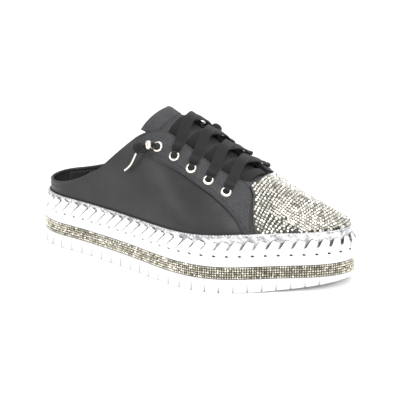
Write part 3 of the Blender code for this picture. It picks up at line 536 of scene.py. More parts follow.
def sheetPiece(name, places, uv=None):
    # a grid laid over the form: its points run along a row first, and its rows from low to high
    rows, columns = places.shape[:2]
    bpy.ops.object.select_all(action="DESELECT")
    bpy.ops.mesh.primitive_grid_add(x_subdivisions=columns - 1, y_subdivisions=rows - 1, size=1)
    piece = bpy.context.object
    piece.name = piece.data.name = name
    piece.data.vertices.foreach_set("co", np.ascontiguousarray(places, dtype=np.float32).ravel())
    if uv is not None:
        corners = np.empty(len(piece.data.loops), dtype=np.int32)
        piece.data.loops.foreach_get("vertex_index", corners)
        flat = np.ascontiguousarray(uv.reshape(-1, 2)[corners], dtype=np.float32)
        piece.data.uv_layers[0].data.foreach_set("uv", flat.ravel())
    piece.data.update()
    return piece


def mergeSeams(piece, distance=2e-6):
    bpy.ops.object.select_all(action="DESELECT")
    piece.select_set(True)
    bpy.context.view_layer.objects.active = piece
    bpy.ops.object.mode_set(mode="EDIT")
    bpy.ops.mesh.select_all(action="SELECT")
    bpy.ops.mesh.remove_doubles(threshold=distance)
    bpy.ops.mesh.dissolve_degenerate(threshold=distance)
    bpy.ops.object.mode_set(mode="OBJECT")


def applied(piece, kind, **settings):
    bpy.ops.object.select_all(action="DESELECT")
    piece.select_set(True)
    bpy.context.view_layer.objects.active = piece
    modifier = piece.modifiers.new(kind.lower(), kind)
    for key, value in settings.items():
        setattr(modifier, key, value)
    bpy.ops.object.modifier_apply(modifier=modifier.name)


def finished(piece, look, nodes=(), smooth=True):
    piece.data.materials.clear()
    for name in (look if isinstance(look, tuple) else (look,)):
        piece.data.materials.append(looks[name])
    bpy.ops.object.select_all(action="DESELECT")
    piece.select_set(True)
    bpy.context.view_layer.objects.active = piece
    if smooth:
        bpy.ops.object.shade_smooth_by_angle(angle=math.radians(38))
    else:
        bpy.ops.object.shade_flat()
    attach(piece, "root")
    if nodes:
        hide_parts(*nodes)
    return piece


def copiesOf(seed, name, origins, axes, paintedGlints=None):
    # one mesh with a copy of the seed at each place; axes holds each copy's x, y and z directions
    count = len(seed.data.vertices)
    points = np.empty(count * 3, dtype=np.float32)
    seed.data.vertices.foreach_get("co", points)
    points = points.reshape(-1, 3)
    faces = [tuple(face.vertices) for face in seed.data.polygons]
    placed = origins[:, None, :] + np.einsum("vk,nkc->nvc", points, axes)
    allFaces = [tuple(v + i * count for v in face) for i in range(len(origins)) for face in faces]
    mesh = bpy.data.meshes.new(name)
    mesh.from_pydata(placed.reshape(-1, 3).tolist(), [], allFaces)
    if paintedGlints is not None:
        # each copy's value for painted glint or painted shade, read by the stone finishes
        layer = mesh.attributes.new("stonePaintedGlint", "FLOAT", "FACE")
        layer.data.foreach_set("value", np.repeat(paintedGlints, len(faces)).astype(np.float32))
    thing = bpy.data.objects.new(name, mesh)
    scene.collection.objects.link(thing)
    bpy.data.objects.remove(seed, do_unlink=True)
    return thing


def evenly(points, pitch, *others):
    # resamples a line at an even pitch, and whatever goes with it
    run = np.concatenate([[0.0], np.cumsum(np.linalg.norm(np.diff(points, axis=0), axis=1))])
    count = max(2, int(round(run[-1] / pitch)))
    even = (np.arange(count) + 0.5) / count * run[-1]
    return [np.stack([np.interp(even, run, line[:, i]) for i in range(line.shape[1])], axis=1)
            for line in (points, *others)]


def tubePiece(name, centres, first, second, radii, sides=12, closed=False):
    # a tube whose cross directions are given; radii may change along it
    angle = np.linspace(0, 2 * math.pi, sides + 1)
    ring = first[:, None, :] * np.cos(angle)[None, :, None] + second[:, None, :] * np.sin(angle)[None, :, None]
    places = centres[:, None, :] + ring * np.asarray(radii).reshape(-1, 1, 1)
    piece = sheetPiece(name, places)
    mergeSeams(piece)
    if not closed:
        closeEnds(piece)
    return piece


def closeEnds(piece):
    bpy.ops.object.select_all(action="DESELECT")
    piece.select_set(True)
    bpy.context.view_layer.objects.active = piece
    bpy.ops.object.mode_set(mode="EDIT")
    bpy.ops.mesh.select_all(action="SELECT")
    bpy.ops.mesh.fill_holes(sides=0)
    bpy.ops.mesh.normals_make_consistent(inside=False)
    bpy.ops.object.mode_set(mode="OBJECT")


def crossWays(centres, guide):
    along = unit(np.gradient(centres, axis=0))
    side = unit(np.cross(guide, along))
    return side, np.cross(along, side), along


def ringSheet(name, turns, section):
    # section holds inset and height arrays, one row for each place on the profile
    insets, heights = section
    rows = []
    for inset, height in zip(insets, heights):
        flat = outline(turns, np.broadcast_to(inset, turns.shape))
        rows.append(np.concatenate([flat, np.broadcast_to(height, turns.shape)[:, None]], axis=1))
    return sheetPiece(name, np.array(rows))


# the outsole, with lug grooves in its edge and a shallow tread under it
outsole = {"grooves": 57, "grooveStart": 0.0027, "grooveWidth": 0.0012, "grooveDepth": 0.0024,
           "grooveHeight": 0.0072, "freeToe": 0.013, "edgeRound": 0.0007, "treadDepth": 0.0011,
           "treadPitch": 0.0085, "treadZigzag": 0.004, "treadWave": 0.030}


def makeOutsole():
    pitch = perimeter / outsole["grooves"]
    steps = np.array([-0.5, -0.44, -0.3, -0.15, -0.0751, -0.05, 0.0, 0.05, 0.0751, 0.15, 0.3, 0.44])
    middles = outsole["grooveStart"] + np.arange(outsole["grooves"]) * pitch
    along = (middles[:, None] + steps[None, :] * pitch).ravel()
    cut = np.tile((np.abs(steps) < 0.06) * (1 - np.abs(steps) / 0.0751 * 0.6), outsole["grooves"])
    turns = turnAt(np.append(along, along[0] + perimeter))
    cut = np.append(cut, cut[0])
    cut[outline(turns)[:, 0] > form["soleLength"] / 2 - outsole["freeToe"]] = 0.0
    edge = outline(turns)
    middle = np.column_stack([np.clip(edge[:, 0], -0.085, 0.082), np.interp(
        np.clip(edge[:, 0], -0.085, 0.082), [-0.085, 0.0, 0.082], [0.0, 0.0, 0.008]) + axisShift])
    rows = []

    def spring(places):
        share = np.maximum(0, (places[:, 0] - form["springStart"]) / (form["soleLength"] / 2 - form["springStart"]))
        places[:, 2] += form["toeSpring"] * share ** 2 * (1 - places[:, 2] / form["outsoleHeight"])
        return places

    for s in np.concatenate([np.linspace(0, 0.93, 32), [0.955, 0.975]]):
        flat = middle + (edge - middle) * s
        x, y = flat[:, 0], flat[:, 1]
        zigzag = outsole["treadZigzag"] * np.abs(np.mod(y / outsole["treadWave"] * 2, 2) - 1) * 2
        phase = np.abs(np.mod((x + zigzag) / outsole["treadPitch"], 1.0) - 0.5) * 2
        groove = smoothStep(phase, 0.62, 0.80) * smoothStep(s, 0.08, 0.16) * (1 - smoothStep(s, 0.84, 0.90))
        rows.append(spring(np.column_stack([flat, outsole["treadDepth"] * groove])))
    r = outsole["edgeRound"]
    profile = [(r, 0.0), (r * 0.3, r * 0.3), (0.0, r)]
    profile += [(0.0, h) for h in (0.0022, 0.0040, 0.0058, outsole["grooveHeight"], 0.0074)]
    profile += [(0.0, 0.0092), (r * 0.15, form["outsoleHeight"] - r * 0.4), (r * 0.6, form["outsoleHeight"])]
    for inset, height in profile:
        deep = outsole["grooveDepth"] * np.sqrt(max(0.0, 1 - height / outsole["grooveHeight"]))
        flat = outline(turns, inset + cut * deep)
        rows.append(spring(np.column_stack([flat, np.full(len(flat), height)])))
    for s in (0.9, 0.5, 0.0):
        flat = middle + (edge - middle) * s
        rows.append(np.column_stack([flat, np.full(len(flat), form["outsoleHeight"])]))
    piece = sheetPiece("outsoleShell", np.array(rows))
    mergeSeams(piece)
    return finished(piece, "rubber", ("outsole",))


# the midsole: a recess for the band of stones, a plain wall over it, and the cup that holds the upper
midsole = {"recess": 0.0015, "lipRound": 0.0010, "columns": 420}


def makeMidsole():
    turns = turnAt(np.linspace(0, perimeter, midsole["columns"] + 1))
    turns[-1] = 2 * math.pi
    low = form["outsoleHeight"] + form["gap"]
    step = low + form["bandHeight"] + form["gap"]
    top, r = form["soleHeight"], midsole["lipRound"]
    floor = form["soleHeight"] - form["cupDepth"]
    profile = [(midsole["recess"], low), (midsole["recess"], step - 0.0001), (0.0006, step), (0.00018, step + 0.00018),
               (0.0, step + 0.0006), (0.0, 0.0235), (0.0, 0.0260), (0.0, 0.0285), (0.0, top - r),
               (r * 0.13, top - r * 0.5), (r * 0.5, top - r * 0.13), (r, top), (form["cupWall"], top),
               (form["cupWall"], top - 0.001), (form["cupWall"], floor)]
    edge = outline(turns)
    middle = np.column_stack([np.clip(edge[:, 0], -0.085, 0.082), np.full(len(edge), axisShift)])
    flat = middle + (edge - middle) * 0.5
    centre = lambda spread, height: np.column_stack([middle + (edge - middle) * spread, np.full(len(edge), height)])
    rows = [centre(0.0, low), centre(0.5, low)]
    rows += [np.column_stack([outline(turns, inset), np.full(len(flat), height)]) for inset, height in profile]
    rows += [centre(0.5, floor), centre(0.0, floor)]
    piece = sheetPiece("midsoleShell", np.array(rows))
    mergeSeams(piece)
    return finished(piece, "rubber", ("midsole",))


# rows of small set stones round the sole
band = {"rows": 5, "radius": 0.00088, "height": 0.00062, "tableShare": 0.55, "backInset": 0.0009,
        "tilt": 0.16, "seed": 7}


def stoneSeed(radius, height, tableShare, sides=8):
    bpy.ops.object.select_all(action="DESELECT")
    bpy.ops.mesh.primitive_cone_add(vertices=sides, radius1=radius, radius2=radius * tableShare,
                                    depth=height, location=(0, 0, height / 2))
    seed = bpy.context.object
    seed.data.transform(seed.matrix_world)
    seed.matrix_world = Matrix.Identity(4)
    # a girdle under the crown facets, so that each stone sits in its setting
    bpy.ops.object.mode_set(mode="EDIT")
    bpy.ops.mesh.select_all(action="DESELECT")
    bpy.ops.object.mode_set(mode="OBJECT")
    for face in seed.data.polygons:
        face.select = face.normal.z < -0.9
    bpy.ops.object.mode_set(mode="EDIT")
    bpy.ops.mesh.extrude_region_move(TRANSFORM_OT_translate={"value": (0, 0, -height * 0.45)})
    bpy.ops.object.mode_set(mode="OBJECT")
    return seed


def tilted(axes, tilt, chance):
    # each stone is turned and leans a little in its setting
    count = len(axes)
    spin = chance.uniform(0, 2 * math.pi, count)
    lean = chance.normal(0, tilt, (count, 2))
    x, y, z = axes[:, 0], axes[:, 1], axes[:, 2]
    z = unit(z + x * lean[:, :1] + y * lean[:, 1:])
    x = unit(x - z * np.sum(x * z, axis=1, keepdims=True))
    y = np.cross(z, x)
    c, s = np.cos(spin)[:, None], np.sin(spin)[:, None]
    return np.stack([x * c + y * s, y * c - x * s, z], axis=1)


def makeBand():
    low = form["outsoleHeight"] + form["gap"]
    turns = turnAt(np.linspace(0, perimeter, 421))
    turns[-1] = 2 * math.pi
    inset = band["backInset"]
    backing = ringSheet("bandBacking", turns, (
        (inset + 0.0004, inset + 0.0004, inset, inset, inset + 0.0004, inset + 0.0004),
        (low + 0.004, low, low, low + form["bandHeight"], low + form["bandHeight"], low + 0.004)))
    mergeSeams(backing)
    finished(backing, "stoneCloth")
    pitch = form["bandHeight"] / band["rows"]
    around = int(perimeter / pitch)
    chance = np.random.default_rng(band["seed"])
    origins, axes = [], []
    for row in range(band["rows"]):
        run = (np.arange(around) + 0.5) * perimeter / around
        turns = turnAt(run)
        ahead, behind = outline(turnAt(run + 0.001)), outline(turnAt(run - 0.001))
        along = unit(np.column_stack([ahead - behind, np.zeros(around)]))
        outward = np.column_stack([along[:, 1], -along[:, 0], np.zeros(around)])
        height = np.full(around, low + pitch * (row + 0.5))
        origins.append(np.column_stack([outline(turns, inset - 0.0001), height]))
        axes.append(np.stack([along, np.tile([0.0, 0.0, 1.0], (around, 1)), outward], axis=1))
    origins, axes = np.concatenate(origins), np.concatenate(axes)
    seed = stoneSeed(band["radius"], band["height"], band["tableShare"])
    # a random value per stone: painted glint when high, painted shade when low
    paintedGlints = np.clip(chance.normal(0.62, 0.26, len(origins)), 0.05, 1.0)
    stones = copiesOf(seed, "bandStones", origins, tilted(axes, band["tilt"], chance), paintedGlints)
    return finished(stones, "bandStone", ("rhinestone_band",), smooth=False)


# the white strap wound over the sole's edge: each turn comes out of a hole and leans on the strip
whip = {"turns": 64, "start": 0.00334, "width": 0.0064, "thick": 0.0012, "lean": 0.0076, "holeRadius": 0.0011,
        "route": [  # inset, height, share of the lean, share of the width
            (0.0030, 0.0290, 0.02, 0.30), (0.0003, 0.0291, 0.04, 0.42), (-0.0004, 0.0299, 0.10, 0.62),
            (-0.0006, 0.0313, 0.24, 0.90), (-0.0006, 0.0330, 0.42, 1.00), (-0.0001, 0.0345, 0.58, 1.00),
            (0.0009, 0.0358, 0.72, 1.00), (0.0020, 0.0369, 0.84, 0.96), (0.0028, 0.0379, 0.93, 0.88),
            (0.0033, 0.0386, 0.99, 0.70), (0.0035, 0.0384, 1.02, 0.45)]}


def makeWhipStitch():
    pitch = perimeter / whip["turns"]
    route = np.array(whip["route"])
    index = np.arange(len(route))
    fine = np.linspace(0, len(route) - 1, 21)
    inset, height, lean, width = (naturalSpline(index, route[:, i])(fine) for i in range(4))
    across = np.linspace(-1, 1, 9)
    pieces, allPlaces = [], []
    for k in range(whip["turns"]):
        run = whip["start"] + k * pitch
        for j, w in enumerate(across):
            crown = math.sqrt(max(0.0, 1 - abs(w) ** 3.2))
            across_run = run + lean * whip["lean"] + w * width * whip["width"] / 2
            lift = whip["thick"] * (0.28 + 0.72 * crown)
            # the strap's sides follow its slant, so the width is laid a little up the wall as well
            tall = height - w * width * whip["width"] * 0.16
            outer = np.column_stack([outline(turnAt(across_run), inset - lift), tall + lift * 0.25])
            allPlaces.append(outer)
    places = np.array(allPlaces).reshape(whip["turns"], len(across), len(fine), 3)
    for k in range(whip["turns"]):
        piece = sheetPiece(f"strap{k}", places[k].transpose(1, 0, 2))
        pieces.append(piece)
    bpy.ops.object.select_all(action="DESELECT")
    for piece in pieces:
        piece.select_set(True)
    bpy.context.view_layer.objects.active = pieces[0]
    bpy.ops.object.join()
    straps = bpy.context.object
    straps.name = straps.data.name = "whipStraps"
    applied(straps, "SOLIDIFY", thickness=whip["thick"] * 0.8, offset=-1.0)
    finished(straps, "strap", ("whipstitch",))
    # a dark disc at the hole each turn comes out of: painted shade in the hole
    run = whip["start"] + np.arange(whip["turns"]) * pitch - 0.0011
    along = unit(np.column_stack([outline(turnAt(run + 0.001)) - outline(turnAt(run - 0.001)), np.zeros(len(run))]))
    outward = np.column_stack([along[:, 1], -along[:, 0], np.zeros(len(run))])
    bpy.ops.object.select_all(action="DESELECT")
    bpy.ops.mesh.primitive_uv_sphere_add(segments=12, ring_count=6, radius=1.0)
    seed = bpy.context.object
    seed.data.transform(Matrix.Diagonal((whip["holeRadius"] * 1.25, whip["holeRadius"] * 0.75, 0.00022, 1.0)))
    origins = np.column_stack([outline(turnAt(run), 0.00003), np.full(len(run), 0.0290)])
    holes = copiesOf(seed, "strapHoleShades", origins,
                     np.stack([along, np.tile([0.0, 0.0, 1.0], (len(run), 1)), outward], axis=1))
    return finished(holes, "dark")


# the mirror strip round the upper's foot, with a rope along its top edge
foil = {"thickness": 0.0012, "swell": 0.00035, "waves": 0.00022, "ropeRadius": 0.00062, "ropePitch": 0.0026,
        "pipingRadius": 0.00050, "columns": 720}


def makeFoilStrip():
    turns = turnAt(np.linspace(0, perimeter, foil["columns"] + 1))
    turns[-1] = 2 * math.pi
    run = np.linspace(0, perimeter, foil["columns"] + 1)
    top = stripTop(outline(turns, form["featherInset"])[:, 0])
    inner = form["featherInset"] - form["gap"]
    outer = inner - foil["thickness"]
    wave = foil["waves"] * (np.sin(run * 2 * math.pi / perimeter * 37) + 0.6 * np.sin(run * 2 * math.pi / perimeter * 83 + 1.0))
    rows = []
    for share, inset in ((0.0, inner), (0.0, outer), (0.2, outer), (0.35, outer), (0.5, outer), (0.62, outer),
                         (0.74, outer), (0.84, outer), (0.92, outer), (0.97, outer + 0.00015),
                         (1.0, outer + 0.0006), (1.0, inner), (0.5, inner), (0.0, inner)):
        bulge = math.sin(math.pi * share) * foil["swell"] if inset <= outer else 0.0
        wavy = wave * math.sin(math.pi * share) if inset <= outer else 0.0
        height = featherHeight + (top - featherHeight) * share
        rows.append(np.column_stack([outline(turns, inset - bulge - wavy), height]))
    strip = sheetPiece("foilStrip", np.array(rows))
    mergeSeams(strip)
    finished(strip, "foil", ("foxing_strip",))

    count = 2400
    run = np.linspace(0, perimeter, count + 1)
    turns = turnAt(run)
    turns[-1] = 2 * math.pi
    base = outline(turns, form["featherInset"])
    outward = np.column_stack([outline(turns, 0.0) - base, np.zeros(count + 1)]) / form["featherInset"]
    upward = np.tile([0.0, 0.0, 1.0], (count + 1, 1))
    height = stripTop(base[:, 0])
    angle = np.linspace(0, 2 * math.pi, 9)
    centre = np.column_stack([outline(turns, outer + 0.0003), height - 0.0001])
    lobes = 1 + 0.30 * np.cos(2 * (angle[None, :] - run[:, None] / foil["ropePitch"] * math.pi))
    ring = (outward[:, None] * np.cos(angle)[None, :, None] + upward[:, None] * np.sin(angle)[None, :, None])
    rope = sheetPiece("stripRope", centre[:, None] + ring * (lobes * foil["ropeRadius"])[..., None])
    mergeSeams(rope)
    finished(rope, "rope")

    centre = np.column_stack([outline(turns, inner - 0.0002), height + foil["pipingRadius"] * 1.6])[::4]
    piping = tubePiece("stripPiping", centre, outward[::4], upward[::4],
                       np.full(len(centre), foil["pipingRadius"]), 8, closed=True)
    return finished(piping, "dark")


makeOutsole()
makeMidsole()
makeBand()
makeWhipStitch()
makeFoilStrip()
print("sole made")

# the upper: one smooth black skin with a pale lining, its collar turned over
upper = {"columns": 300, "rows": 44, "ripple": 0.00022, "rollRadius": 0.0012, "rollDrop": 0.0006}


def upperTurns(count):
    base = np.linspace(0, 2 * math.pi, count + 1)
    end = np.linspace(math.pi / 2, math.pi, 2000)
    ends = [float(np.interp(form["throatEnd"] - d, crownX(end), end)) for d in (0, 0.0002, 0.0006, 0.0012, 0.0025, 0.004)]
    return np.unique(np.concatenate([base, ends, [2 * math.pi - t for t in ends]]))


def ripple(turn, level):
    # soft hollows where the leather was drawn over the last
    wave = np.sin(turn * 9.0 + level * 4.0) * np.sin(level * 7.0 + turn * 3.0)
    fine = np.sin(turn * 23.0 - level * 11.0) * np.sin(level * 17.0 + 1.0)
    return upper["ripple"] * (wave + 0.4 * fine) * smoothStep(level, 0.05, 0.25)


def makeUpper():
    turns = upperTurns(upper["columns"])
    tops = topLevel(turns)
    climb = np.linspace(0, 1, upper["rows"])
    levels = np.concatenate([np.tile([[-1.0], [-0.6], [-0.2], [-0.05]], (1, len(turns))),
                             climb[:, None] * tops[None, :]], axis=0)
    grid = np.broadcast_to(turns, levels.shape)
    places = overUpper(grid, levels, ripple(grid, levels) * (levels > 0))
    skin = sheetPiece("upperSkin", places)
    mergeSeams(skin)
    skin.data.materials.clear()
    skin.data.materials.append(looks["leather"])
    skin.data.materials.append(looks["lining"])
    applied(skin, "SOLIDIFY", thickness=form["wall"], offset=-1.0, material_offset=1, material_offset_rim=0)
    return finished(skin, ("leather", "lining"), ("upper",))


def makeCollarRoll():
    # from one eyestay's corner round the heel to the other's
    corner = 1.02
    turns = np.concatenate([np.linspace(2 * math.pi - corner, 2 * math.pi, 120), np.linspace(0, corner, 120)[1:]])
    tops = topLevel(np.mod(turns, 2 * math.pi))
    centres = overUpper(turns, tops, np.full(len(turns), -form["wall"] / 2))
    centres[:, 2] -= upper["rollDrop"] * 0.4
    outward = upperNormal(turns, tops)
    along = unit(np.gradient(centres, axis=0))
    upward = unit(np.cross(outward, along))
    outward = np.cross(along, upward)
    ends = np.clip(np.minimum(np.arange(len(turns)), np.arange(len(turns))[::-1]) / 6, 0.25, 1)
    roll = tubePiece("collarRoll", centres, outward, -upward, upper["rollRadius"] * ends, 14)
    return finished(roll, "leather")


makeUpper()
makeCollarRoll()
print("upper made")

# the eyestays' edges in plan: x, and the distance from the crown line
stay = {
    "thickness": 0.0013, "legWidth": 0.0050, "turn": (0.0630, 0.0240), "foot": 0.0745, "legTop": (0.0615, 0.0448),
    "edgeRound": 0.0007, "columns": 150, "rows": 46,
    "seams": (0.0014, 0.0036), "throatSeam": 0.0016, "groove": 0.00032, "grooveWidth": 0.00040,
    "upperEdge": [(-0.0315, 0.0290), (-0.0250, 0.0260), (-0.0190, 0.0225), (-0.0120, 0.0202), (-0.0050, 0.0200),
                  (0.0100, 0.0200), (0.0250, 0.0200), (0.0380, 0.0198), (0.0480, 0.0176), (0.0560, 0.0176)],
    "lowerEdge": [(-0.0345, 0.0310), (-0.0290, 0.0320), (-0.0230, 0.0328), (-0.0150, 0.0338), (-0.0060, 0.0347),
                  (0.0100, 0.0358), (0.0250, 0.0373), (0.0380, 0.0392), (0.0490, 0.0415), (0.0560, 0.0434)],
}


def planEdge(places, side):
    edge = np.array(places)
    turn, level = locate(edge[:, 0], sideHalf(edge[:, 1], side), side)
    return turn, np.minimum(level, topLevel(turn))


def turnAtFoot(x, side):
    turns = np.linspace(math.pi / 4, math.pi, 721)
    turns = turns if side < 0 else 2 * math.pi - turns
    return float(np.interp(x, outline(turns, form["featherInset"])[:, 0], turns))


def legEdge(top, footX, side, count):
    turn, level = locate(top[0], sideHalf(top[1], side), side)
    end = turnAtFoot(footX, side)
    share = np.linspace(0, 1, count + 1)[1:]
    turns, levels = turn + (end - turn) * share, level * (1 - share)
    levels[-1] = lowLevel(turns[-1])
    return turns, levels


def stayFront(side, ahead, count=4):
    x, half = stay["turn"]
    first = planEdge([(x + ahead, half)], side)
    rest = legEdge((x + ahead, half), stay["foot"] + ahead, side, count)
    return np.concatenate([first[0], rest[0]]), np.concatenate([first[1], rest[1]])


def smoothEdge(edge, count):
    index = np.arange(len(edge[0]))
    fine = np.linspace(0, len(index) - 1, count)
    return [np.interp(fine, index, line) * 0.5 + naturalSpline(index, line)(fine) * 0.5 for line in edge]


stitchRows = {"black": [], "grey": []}


def sew(points, normals, thread="black"):
    stitchRows[thread].append((points, normals))


def stayEdges(side):
    front, back = stayFront(side, 0.0), legEdge(stay["legTop"], stay["foot"] - stay["legWidth"], side, 4)
    upperSide = [np.concatenate(pair) for pair in zip(planEdge(stay["upperEdge"], side), front)]
    lowerSide = [np.concatenate(trio) for trio in zip(planEdge(stay["lowerEdge"], side),
                                                      planEdge([stay["legTop"]], side), back)]
    high, low = smoothEdge(upperSide, stay["columns"]), smoothEdge(lowerSide, stay["columns"])
    high[1] = np.minimum(high[1], topLevel(high[0]))
    low[1] = np.minimum(low[1], topLevel(low[0]))
    return high, low


def makeStay(word, side):
    high, low = stayEdges(side)
    share = 0.5 - 0.5 * np.cos(np.linspace(0, math.pi, stay["rows"]))
    turns = low[0][None, :] + (high[0] - low[0])[None, :] * share[:, None]
    levels = low[1][None, :] + (high[1] - low[1])[None, :] * share[:, None]
    bare = upperPoint(turns, levels)
    width = np.linalg.norm(bare[-1] - bare[0], axis=-1)
    fromLow, fromHigh = share[:, None] * width[None, :], (1 - share)[:, None] * width[None, :]
    run = np.concatenate([[0], np.cumsum(np.linalg.norm(np.diff(bare[len(bare) // 2], axis=0), axis=1))])
    fromBack = np.broadcast_to(run[None, :], fromLow.shape)
    near = np.minimum(np.minimum(fromLow, fromHigh), fromBack + 0.0001)
    lift = form["panelGap"] + stay["thickness"] * np.sqrt(1 - (1 - np.clip(near / stay["edgeRound"], 0, 1)) ** 2)

    def groove(distance, place):
        return stay["groove"] * np.exp(-((distance - place) / stay["grooveWidth"]) ** 2)

    lift = lift - groove(fromLow, stay["seams"][0]) - groove(fromLow, stay["seams"][1])
    lift = lift - groove(fromHigh, stay["throatSeam"])
    places = overUpper(turns, levels, lift)
    piece = sheetPiece(f"eyestay{word}", places if side < 0 else places[:, ::-1])
    applied(piece, "SOLIDIFY", thickness=0.0009, offset=-1.0)
    finished(piece, "grained", (f"eyestay_{word.lower()}",))
    normals = upperNormal(turns, levels)
    for place, fromEdge, column in ((stay["seams"][0], fromLow, 1), (stay["seams"][1], fromLow, 1),
                                    (stay["throatSeam"], fromHigh, -1)):
        line, ups = [], []
        for j in range(3, stay["columns"] - 2):
            spot = place / width[j]
            if spot > 0.48:
                continue
            s = spot if column > 0 else 1 - spot
            t = low[0][j] + (high[0][j] - low[0][j]) * s
            v = low[1][j] + (high[1][j] - low[1][j]) * s
            line.append((t, v))
        line = np.array(line)
        ups = upperNormal(line[:, 0], line[:, 1])
        sew(overUpper(line[:, 0], line[:, 1], np.full(len(line), form["panelGap"] + stay["thickness"] - 0.00012)), ups)
    return high, low


stayLines = {"Right": makeStay("Right", -1), "Left": makeStay("Left", 1)}

# the toe cap's cloth, and its stones on rings that lean forward round the toe
cap = {"thickness": 0.0010, "pitch": 0.00252, "radius": 0.00118, "height": 0.00085, "tableShare": 0.52,
       "pivotX": 0.078, "pivotZ": 0.030, "edgeClear": 0.011, "tilt": 0.13, "seed": 21}


def capEdge(side):
    ahead = form["panelGap"] * 2
    last = stay["upperEdge"][-1]
    throat = [(form["throatEnd"] + ahead, 0.0), (form["throatEnd"] + ahead * 0.6, 0.0060),
              (form["throatEnd"] - 0.0004, 0.0120), (last[0] + ahead * 2, last[1])]
    near, front = planEdge(throat, side), stayFront(side, ahead)
    turn, level = (np.concatenate(pair) for pair in zip(near, front))
    level[0] = 1.0
    return turn, level


def makeCapCloth():
    columns = []
    for side in (-1, 1):
        turn, level = capEdge(side)
        index, fine = np.arange(len(turn)), np.linspace(0, len(turn) - 1, 49)
        turn, level = np.interp(fine, index, turn), np.interp(fine, index, level)
        even = np.linspace(1, 0, len(level))
        rows = []
        for share in np.linspace(0, 1, 49):
            angle = turn + (math.pi - turn) * share
            height = level + (even - level) * share
            height[-1] = lowLevel(angle[-1])
            rows.append(overUpper(angle, height, np.full(len(angle), form["panelGap"] + cap["thickness"])))
        columns.append(rows)
    for right, left in zip(*columns):
        right[0] = left[0] = 0.5 * (right[0] + left[0])
    places = np.array(columns[0] + columns[1][-2::-1])[:, ::-1].transpose(1, 0, 2)
    cloth = sheetPiece("toeCapCloth", places)
    mergeSeams(cloth)
    applied(cloth, "SOLIDIFY", thickness=cap["thickness"], offset=-1.0)
    return finished(cloth, "stoneCloth", ("toe_cap",))


def makeCapStones():
    turns = np.linspace(1.7, 2 * math.pi - 1.7, 400)
    levels = np.concatenate([np.linspace(0, 0.97, 110), [1.0]])
    grid, climb = np.meshgrid(turns, levels, indexing="ij")
    lift = form["panelGap"] + cap["thickness"]
    places = overUpper(grid, climb, np.full(grid.shape, lift))
    ups = upperNormal(grid, climb)
    data = np.concatenate([places, ups, grid[..., None], climb[..., None]], axis=-1)
    # the crown line, along which the rings are spaced
    x = np.linspace(0.045, 0.1285, 600)
    crownTurn, crownLevel = locate(x, np.full(x.shape, 0.0002), -1)
    line = overUpper(crownTurn, crownLevel, np.full(x.shape, lift))
    run = np.concatenate([[0], np.cumsum(np.linalg.norm(np.diff(line, axis=0), axis=1))])
    marks = np.arange(0.5, run[-1] / cap["pitch"]) * cap["pitch"]
    marks = np.stack([np.interp(marks, run, line[:, i]) for i in range(3)], axis=1)
    edges = {side: capEdge(side) for side in (-1, 1)}
    origins, normals, alongs = [], [], []
    for mark in marks:
        # the ring's plane stands upright behind the pivot and leans forward ahead of it
        if mark[0] <= cap["pivotX"]:
            plane = np.array([1.0, 0.0, 0.0])
        else:
            reach = np.array([mark[0] - cap["pivotX"], mark[2] - cap["pivotZ"]])
            reach /= np.linalg.norm(reach)
            plane = np.array([reach[1], 0.0, -reach[0]])
        away = (places - mark) @ plane
        found = []
        for a, b in ((data[:-1], data[1:]), (data[:, :-1], data[:, 1:])):
            da, db = ((away[:-1], away[1:]) if a.shape[0] != data.shape[0] else (away[:, :-1], away[:, 1:]))
            hit = (da * db) < 0
            share = (da[hit] / (da[hit] - db[hit]))[:, None]
            found.append(a[hit] + (b[hit] - a[hit]) * share)
        found = np.concatenate(found)
        if len(found) < 8:
            continue
        order = np.argsort(found[:, 1] - 0.35 * np.sign(found[:, 1] - mark[1]) * (found[:, 2] - mark[2]))
        found = found[order]
        keep = np.concatenate([[True], np.linalg.norm(np.diff(found[:, :3], axis=0), axis=1) > 0.00006])
        found = found[keep]
        distance = np.concatenate([[0], np.cumsum(np.linalg.norm(np.diff(found[:, :3], axis=0), axis=1))])
        top = distance[np.argmin(np.linalg.norm(found[:, :3] - mark, axis=1))]
        first = math.ceil((0 - top) / cap["pitch"])
        last = math.floor((distance[-1] - top) / cap["pitch"])
        spots = top + np.arange(first, last + 1) * cap["pitch"]
        row = np.stack([np.interp(spots, distance, found[:, i]) for i in range(8)], axis=1)
        ahead = np.stack([np.interp(spots + 0.0004, distance, found[:, i]) for i in range(3)], axis=1)
        for spot, forward in zip(row, ahead):
            side = -1 if spot[6] <= math.pi else 1
            lean = spot[6] if side < 0 else 2 * math.pi - spot[6]
            edgeTurn, edgeLevel = edges[side]
            edgeLean = edgeTurn if side < 0 else 2 * math.pi - edgeTurn
            limit = np.interp(-spot[7], -edgeLevel, edgeLean)
            if lean < limit + cap["edgeClear"] or spot[7] < 0.035:
                continue
            origins.append(spot[:3])
            normals.append(spot[3:6])
            alongs.append(forward - spot[:3])
    origins, z = np.array(origins), unit(np.array(normals))
    x = unit(np.array(alongs) + 1e-9)
    y = unit(np.cross(z, x))
    axes = np.stack([np.cross(y, z), y, z], axis=1)
    # stones that crowd together where rings meet are thinned
    kept = []
    for i in range(len(origins)):
        if all(np.linalg.norm(origins[i] - origins[j]) > cap["pitch"] * 0.72 for j in kept[-160:]):
            kept.append(i)
    origins, axes = origins[kept], axes[kept]
    chance = np.random.default_rng(cap["seed"])
    seed = stoneSeed(cap["radius"], cap["height"], cap["tableShare"])
    # a random value per stone: painted glint when high, painted shade when low
    paintedGlints = np.clip(chance.normal(0.66, 0.24, len(origins)), 0.05, 1.0)
    origins = origins + axes[:, 2] * 0.0001
    stones = copiesOf(seed, "toeCapStones", origins, tilted(axes, cap["tilt"], chance), paintedGlints)
    print("toe cap stones:", len(origins))
    return finished(stones, "capStone", smooth=False)


makeCapCloth()
makeCapStones()
print("eyestays and toe cap made")

